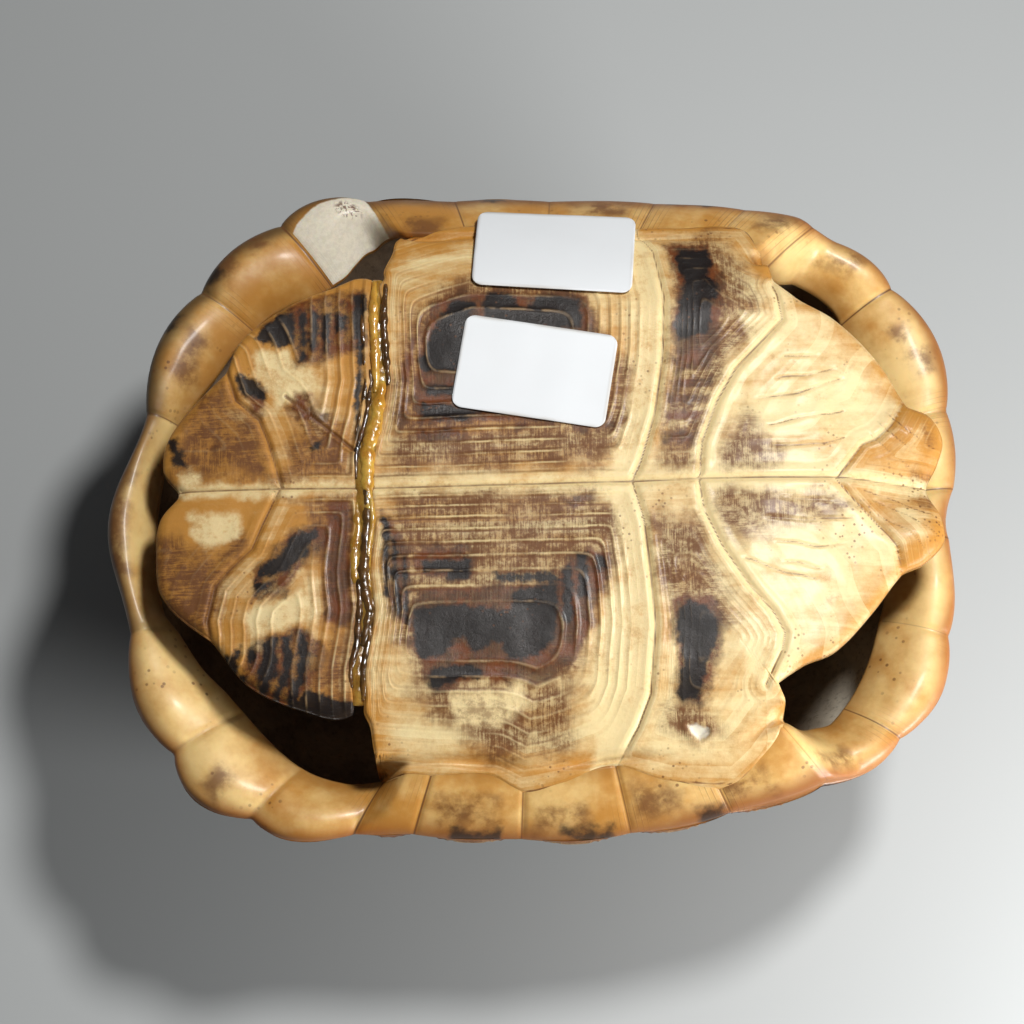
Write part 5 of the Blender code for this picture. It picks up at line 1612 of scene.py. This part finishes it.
def sweep_tube(line, half_width, half_height, lift, strand, sides=14):
    """A closed, lumpy strip along a line: points, faces and values. Each size is one per step."""
    steps = len(line)
    turn = np.linspace(0, TURN, sides, endpoint=False)
    tangent = np.gradient(line, axis=0)
    tangent /= np.linalg.norm(tangent, axis=1)[:, None]
    across = np.stack([-tangent[:, 1], tangent[:, 0]], axis=-1)
    x = line[:, 0, None] + across[:, 0, None] * np.cos(turn) * half_width[:, None]
    y = line[:, 1, None] + across[:, 1, None] * np.cos(turn) * half_width[:, None]
    z = belly_height(line[:, 0], line[:, 1])[:, None] + lift[:, None] + np.sin(turn) * half_height[:, None]
    points = np.stack([x, y, z], axis=-1).reshape(-1, 3)
    ends = [points[:sides].mean(axis=0), points[-sides:].mean(axis=0)]
    index = np.arange(steps * sides).reshape(steps, sides)
    after = np.roll(index, -1, axis=1)
    faces = np.stack([index[:-1], after[:-1], after[1:], index[1:]], axis=-1).reshape(-1, 4).tolist()
    first, last = steps * sides, steps * sides + 1
    faces += [[first, b, a] for a, b in zip(index[0], after[0])]
    faces += [[last, a, b] for a, b in zip(index[-1], after[-1])]
    return np.concatenate([points, ends]), faces, np.full(len(points) + 2, strand)


def hinge_path(start_y, end_y, offset, steps, wander, seed):
    """Points along the hinge between two places across the belly, offset towards the head."""
    y = np.linspace(start_y, end_y, steps)
    hx, hy = np.array(HINGE_LINE)[::-1].T
    x = np.interp(y, hy, hx) + offset
    x = x + wander * lumps(y, np.zeros(steps), FILM_WAVER_SIZE, seed)
    return np.stack([x, y], axis=-1)


def make_film_mesh(material):
    """The hinge's dried film: a low lumpy strip with amber and dark strands on it."""
    all_points, all_faces, all_strand = [], [], []
    count = 0
    for start, end, offset, width, height, lift, strand, wander, seed in FILM_STRANDS:
        steps = max(FILM_LEAST_STEPS, int(abs(start - end) * FILM_STEPS_PER_MM))
        line = hinge_path(start, end, offset, steps, wander, seed)
        taper = np.sin(np.pi * np.linspace(0.03, 0.97, steps)) ** FILM_TAPER
        bumpy = 1 + FILM_SWELL * lumps(line[:, 1], np.zeros(steps), FILM_SWELL_SIZE, seed + 20)
        lift_here = lift + FILM_RISE * lumps(line[:, 1], np.zeros(steps), FILM_RISE_SIZE, seed + 40)
        points, faces, strand_values = sweep_tube(
            line, width * taper * bumpy, height * taper * bumpy, lift_here, strand)
        all_points.append(points)
        all_faces += [[i + count for i in face] for face in faces]
        all_strand.append(strand_values)
        count += len(points)
    return mesh_object("hinge_film", np.concatenate(all_points), all_faces, [material],
                       {"strand": np.concatenate(all_strand)})


def top_height(x, y):
    """Height of the upper one of the belly plate and the edge scutes at places of the plan."""
    band, inward = band_height(x, y)
    belly = belly_height(x, y)
    return np.where((inward >= 0) & (inward <= BAND_UNDER_LABEL), np.maximum(belly, band), belly)


def make_label_mesh(name, middle, size, turn, thickness, material):
    """A paper label that follows the horn under it, with rounded corners."""
    u, v, quads, loop = square_grid(*LABEL_CUTS)
    half_x, half_y = size[0] / 2, size[1] / 2
    x, y = u * half_x, v * half_y
    over_x = np.maximum(0.0, np.abs(x) - (half_x - LABEL_CORNER))
    over_y = np.maximum(0.0, np.abs(y) - (half_y - LABEL_CORNER))
    reach = np.maximum(np.hypot(over_x, over_y), LABEL_CORNER)
    x = x - np.sign(x) * over_x * (1 - LABEL_CORNER / reach)
    y = y - np.sign(y) * over_y * (1 - LABEL_CORNER / reach)
    edge = np.minimum(half_x - np.abs(u * half_x), half_y - np.abs(v * half_y))
    cos, sin = math.cos(math.radians(turn)), math.sin(math.radians(turn))
    px, py = middle[0] + x * cos - y * sin, middle[1] + x * sin + y * cos
    far = LABEL_STIFFNESS
    nearby = [(0, 0), (far, 0), (-far, 0), (0, far), (0, -far)]
    low = np.max([top_height(px + dx, py + dy) for dx, dy in nearby], axis=0) + LABEL_GAP
    low = low + LABEL_WAVE * lumps(px, py, LABEL_WAVE_SIZE, 18)
    top = np.stack([px, py, low + thickness / MM], axis=-1)
    under = np.stack([px, py, low], axis=-1)
    after = np.roll(loop, -1)
    sides = np.stack([loop, loop + len(px), after + len(px), after], axis=-1)
    faces = quads.tolist() + (quads[:, ::-1] + len(px)).tolist() + sides.tolist()
    return mesh_object(name, np.concatenate([top, under]), faces, [material],
                       {"edge": np.concatenate([edge, edge])})


def horn_materials(colours, name, on_belly):
    """Horn and bone, made once and shared by the pieces that need them."""
    for group, maker in (("Ring lines", make_ring_lines), ("Broken edge", make_broken_edge),
                         ("Fibres", make_fibres), ("Specks", make_specks)):
        if group not in bpy.data.node_groups:
            maker()
    horn = bpy.data.materials.get(name) or make_horn(name, colours, on_belly)
    bone = bpy.data.materials.get("hollow_bone_painted_shade") or make_bone("hollow_bone_painted_shade", colours)
    return [horn, bone]


class SHELL_OT_back(bpy.types.Operator):
    """Make the domed back with its edge scutes"""
    bl_idname = "shell.back"
    bl_label = "Back"

    def execute(self, context):
        scene = context.scene
        materials = horn_materials(scene.shell_colours, "back_horn", False)
        materials.append(make_edge_horn("edge_horn", scene.shell_colours))
        back = make_back_mesh(materials, scene.shell_sizes)
        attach(back, "root")
        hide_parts("shell")
        return {"FINISHED"}


class SHELL_OT_belly(bpy.types.Operator):
    """Make the belly plate with its bridges"""
    bl_idname = "shell.belly"
    bl_label = "Belly plate"

    def execute(self, context):
        scene = context.scene
        hinge = [(x + HINGE_HALF_GAP, y) for x, y in HINGE_LINE]
        outline = PolarOutline(BELLY_EDGE + hinge + BELLY_EDGE_NEAR, BELLY_CENTRE)

        def extra_wall(x, y):
            return BRIDGE_EXTRA_WALL * smooth_step(*BRIDGE_EXTRA_WALL_GROWS, np.abs(y)) * bridge_share(x)

        def nose(x, y):
            at_bridge = smooth_step(*NOSE_BRIDGE_STARTS, np.abs(y)) * bridge_share(x)
            at_hinge = smooth_step(*NOSE_HINGE_STARTS, x) * (1 - at_bridge)
            return NOSE_LENGTH - NOSE_LESS_AT_BRIDGE * at_bridge - NOSE_LESS_AT_HINGE * at_hinge

        belly = make_plate_mesh("belly_plate", horn_materials(scene.shell_colours, "belly_horn", True),
                                scene.shell_sizes, outline, BELLY_CUTS, extra_wall, nose)
        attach(belly, "root")
        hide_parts("shell")
        return {"FINISHED"}


class SHELL_OT_lobe(bpy.types.Operator):
    """Make the hinged hind lobe of the belly"""
    bl_idname = "shell.lobe"
    bl_label = "Hind lobe"

    def execute(self, context):
        scene = context.scene
        hinge = [(x - HINGE_HALF_GAP, y) for x, y in HINGE_LINE]
        outline = PolarOutline(LOBE_EDGE + hinge, LOBE_CENTRE)

        def extra_wall(x, _):
            return 0.0 * x

        def nose(x, _):
            return NOSE_LENGTH - LOBE_NOSE_LESS_AT_HINGE * smooth_step(*LOBE_NOSE_HINGE_STARTS, x)

        lobe = make_plate_mesh("lobe", horn_materials(scene.shell_colours, "belly_horn", True),
                               scene.shell_sizes, outline, LOBE_CUTS, extra_wall, nose)
        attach(lobe, "root")
        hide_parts("hind_lobe")
        return {"FINISHED"}


class SHELL_OT_hinge(bpy.types.Operator):
    """Make the dried film in the hinge"""
    bl_idname = "shell.hinge"
    bl_label = "Hinge film"

    def execute(self, context):
        film = make_film_mesh(make_film("hinge_film", context.scene.shell_colours))
        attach(film, "root")
        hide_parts("hinge_membrane")
        return {"FINISHED"}


class SHELL_OT_labels(bpy.types.Operator):
    """Make the two blank paper labels"""
    bl_idname = "shell.labels"
    bl_label = "Paper labels"

    def execute(self, context):
        scene = context.scene
        paper = make_paper("label_paper_white", scene.shell_colours)
        for name, (middle, size, turn) in LABELS.items():
            thickness = scene.shell_sizes.label_thickness
            label = make_label_mesh(name + "_sheet", middle, size, turn, thickness, paper)
            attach(label, "root")
            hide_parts(name)
        return {"FINISHED"}


def add_camera():
    """The camera at the photograph's place, looking down at a slant."""
    back = np.array([0.0, -math.sin(VIEW_TILT), math.cos(VIEW_TILT)])
    flat_up = np.array([0.0, math.cos(VIEW_TILT), math.sin(VIEW_TILT)])
    cos, sin = math.cos(VIEW_ROLL), math.sin(VIEW_ROLL)
    right = np.array([1.0, 0.0, 0.0]) * cos - flat_up * sin
    up = np.array([1.0, 0.0, 0.0]) * sin + flat_up * cos
    middle = PHOTO_SIDE / 2
    eye = VIEW_TARGET + back * VIEW_DISTANCE
    eye = eye - right * (VIEW_MIDDLE[0] - middle) / VIEW_FOCUS * VIEW_DISTANCE
    eye = eye + up * (VIEW_MIDDLE[1] - middle) / VIEW_FOCUS * VIEW_DISTANCE
    data = bpy.data.cameras.new("camera")
    data.sensor_width = SENSOR
    data.lens = SENSOR * VIEW_FOCUS / PHOTO_SIDE
    data.clip_start, data.clip_end = VIEW_DEPTHS
    camera = bpy.data.objects.new("camera", data)
    turn = Matrix((right, up, back)).transposed()
    camera.matrix_world = Matrix.Translation(Vector(eye * MM)) @ turn.to_4x4()
    bpy.context.scene.collection.objects.link(camera)
    bpy.context.scene.camera = camera


def add_light(name, power, settings):
    place, aim, side, tint = settings
    data = bpy.data.lights.new(name, "AREA")
    data.shape = "DISK"
    data.size = side
    data.energy = power
    data.color = tint
    light = bpy.data.objects.new(name, data)
    light.location = place
    light.rotation_euler = (Vector(aim) - Vector(place)).to_track_quat("-Z", "Y").to_euler()
    bpy.context.scene.collection.objects.link(light)


class SHELL_OT_stage(bpy.types.Operator):
    """Make the pale floor, the soft lights and the camera"""
    bl_idname = "shell.stage"
    bl_label = "Floor, lights and camera"

    def execute(self, context):
        stage = context.scene.shell_stage
        corners = np.array([(-1, -1, 0), (1, -1, 0), (1, 1, 0), (-1, 1, 0)]) * FLOOR_HALF_SIDE
        floor = mesh_object("floor", corners / MM, [[0, 1, 2, 3]], [], {})
        material, nodes, shader = start_material("pale_floor")
        grain = nodes.noise(nodes.place(), FLOOR_CLOUD_SCALE, 3.0)
        low = tuple(FLOOR_CLOUD_SHADE * c for c in stage.floor_colour)
        nodes.set(shader.inputs["Base Color"], nodes.mix(grain, colour(low), colour(stage.floor_colour)))
        shader.inputs["Roughness"].default_value = FLOOR_ROUGHNESS
        floor.data.materials.append(material)
        add_light("key_light", stage.key_power, KEY_LIGHT)
        add_light("near_light", stage.near_power, NEAR_LIGHT)
        world = bpy.data.worlds.new("surroundings")
        context.scene.world = world
        world.use_nodes = True
        sky = world.node_tree.nodes["Background"]
        sky.inputs["Color"].default_value = SKY_TINT
        sky.inputs["Strength"].default_value = stage.sky_strength
        context.scene.view_settings.view_transform = "Standard"
        add_camera()
        return {"FINISHED"}


class SHELL_PT_panel(bpy.types.Panel):
    """Sizes, colours and pieces of the tortoise shell"""
    bl_idname = "SHELL_PT_panel"
    bl_label = "Tortoise Shell"
    bl_space_type = "VIEW_3D"
    bl_region_type = "UI"
    bl_category = "Tortoise Shell"

    def draw(self, context):
        scene = context.scene
        for settings in (scene.shell_sizes, scene.shell_colours, scene.shell_stage):
            box = self.layout.box()
            for name in settings.__annotations__:
                box.prop(settings, name)
        for operator in OPERATORS:
            self.layout.operator(operator.bl_idname)


GROUPS = {"shell_sizes": ShellSizes, "shell_colours": ShellColours, "shell_stage": StageSettings}
OPERATORS = [SHELL_OT_stage, SHELL_OT_back, SHELL_OT_belly, SHELL_OT_lobe, SHELL_OT_hinge, SHELL_OT_labels]


def register():
    for cls in (*GROUPS.values(), *OPERATORS, SHELL_PT_panel):
        bpy.utils.register_class(cls)
    for name, cls in GROUPS.items():
        setattr(bpy.types.Scene, name, bpy.props.PointerProperty(type=cls))


def unregister():
    for name in GROUPS:
        delattr(bpy.types.Scene, name)
    for cls in (SHELL_PT_panel, *reversed(OPERATORS), *reversed(GROUPS.values())):
        bpy.utils.unregister_class(cls)


def main():
    register()
    bpy.ops.shell.stage()
    bpy.ops.shell.back()
    bpy.ops.shell.belly()
    bpy.ops.shell.lobe()
    bpy.ops.shell.hinge()
    bpy.ops.shell.labels()


if __name__ == "__main__":
    main()
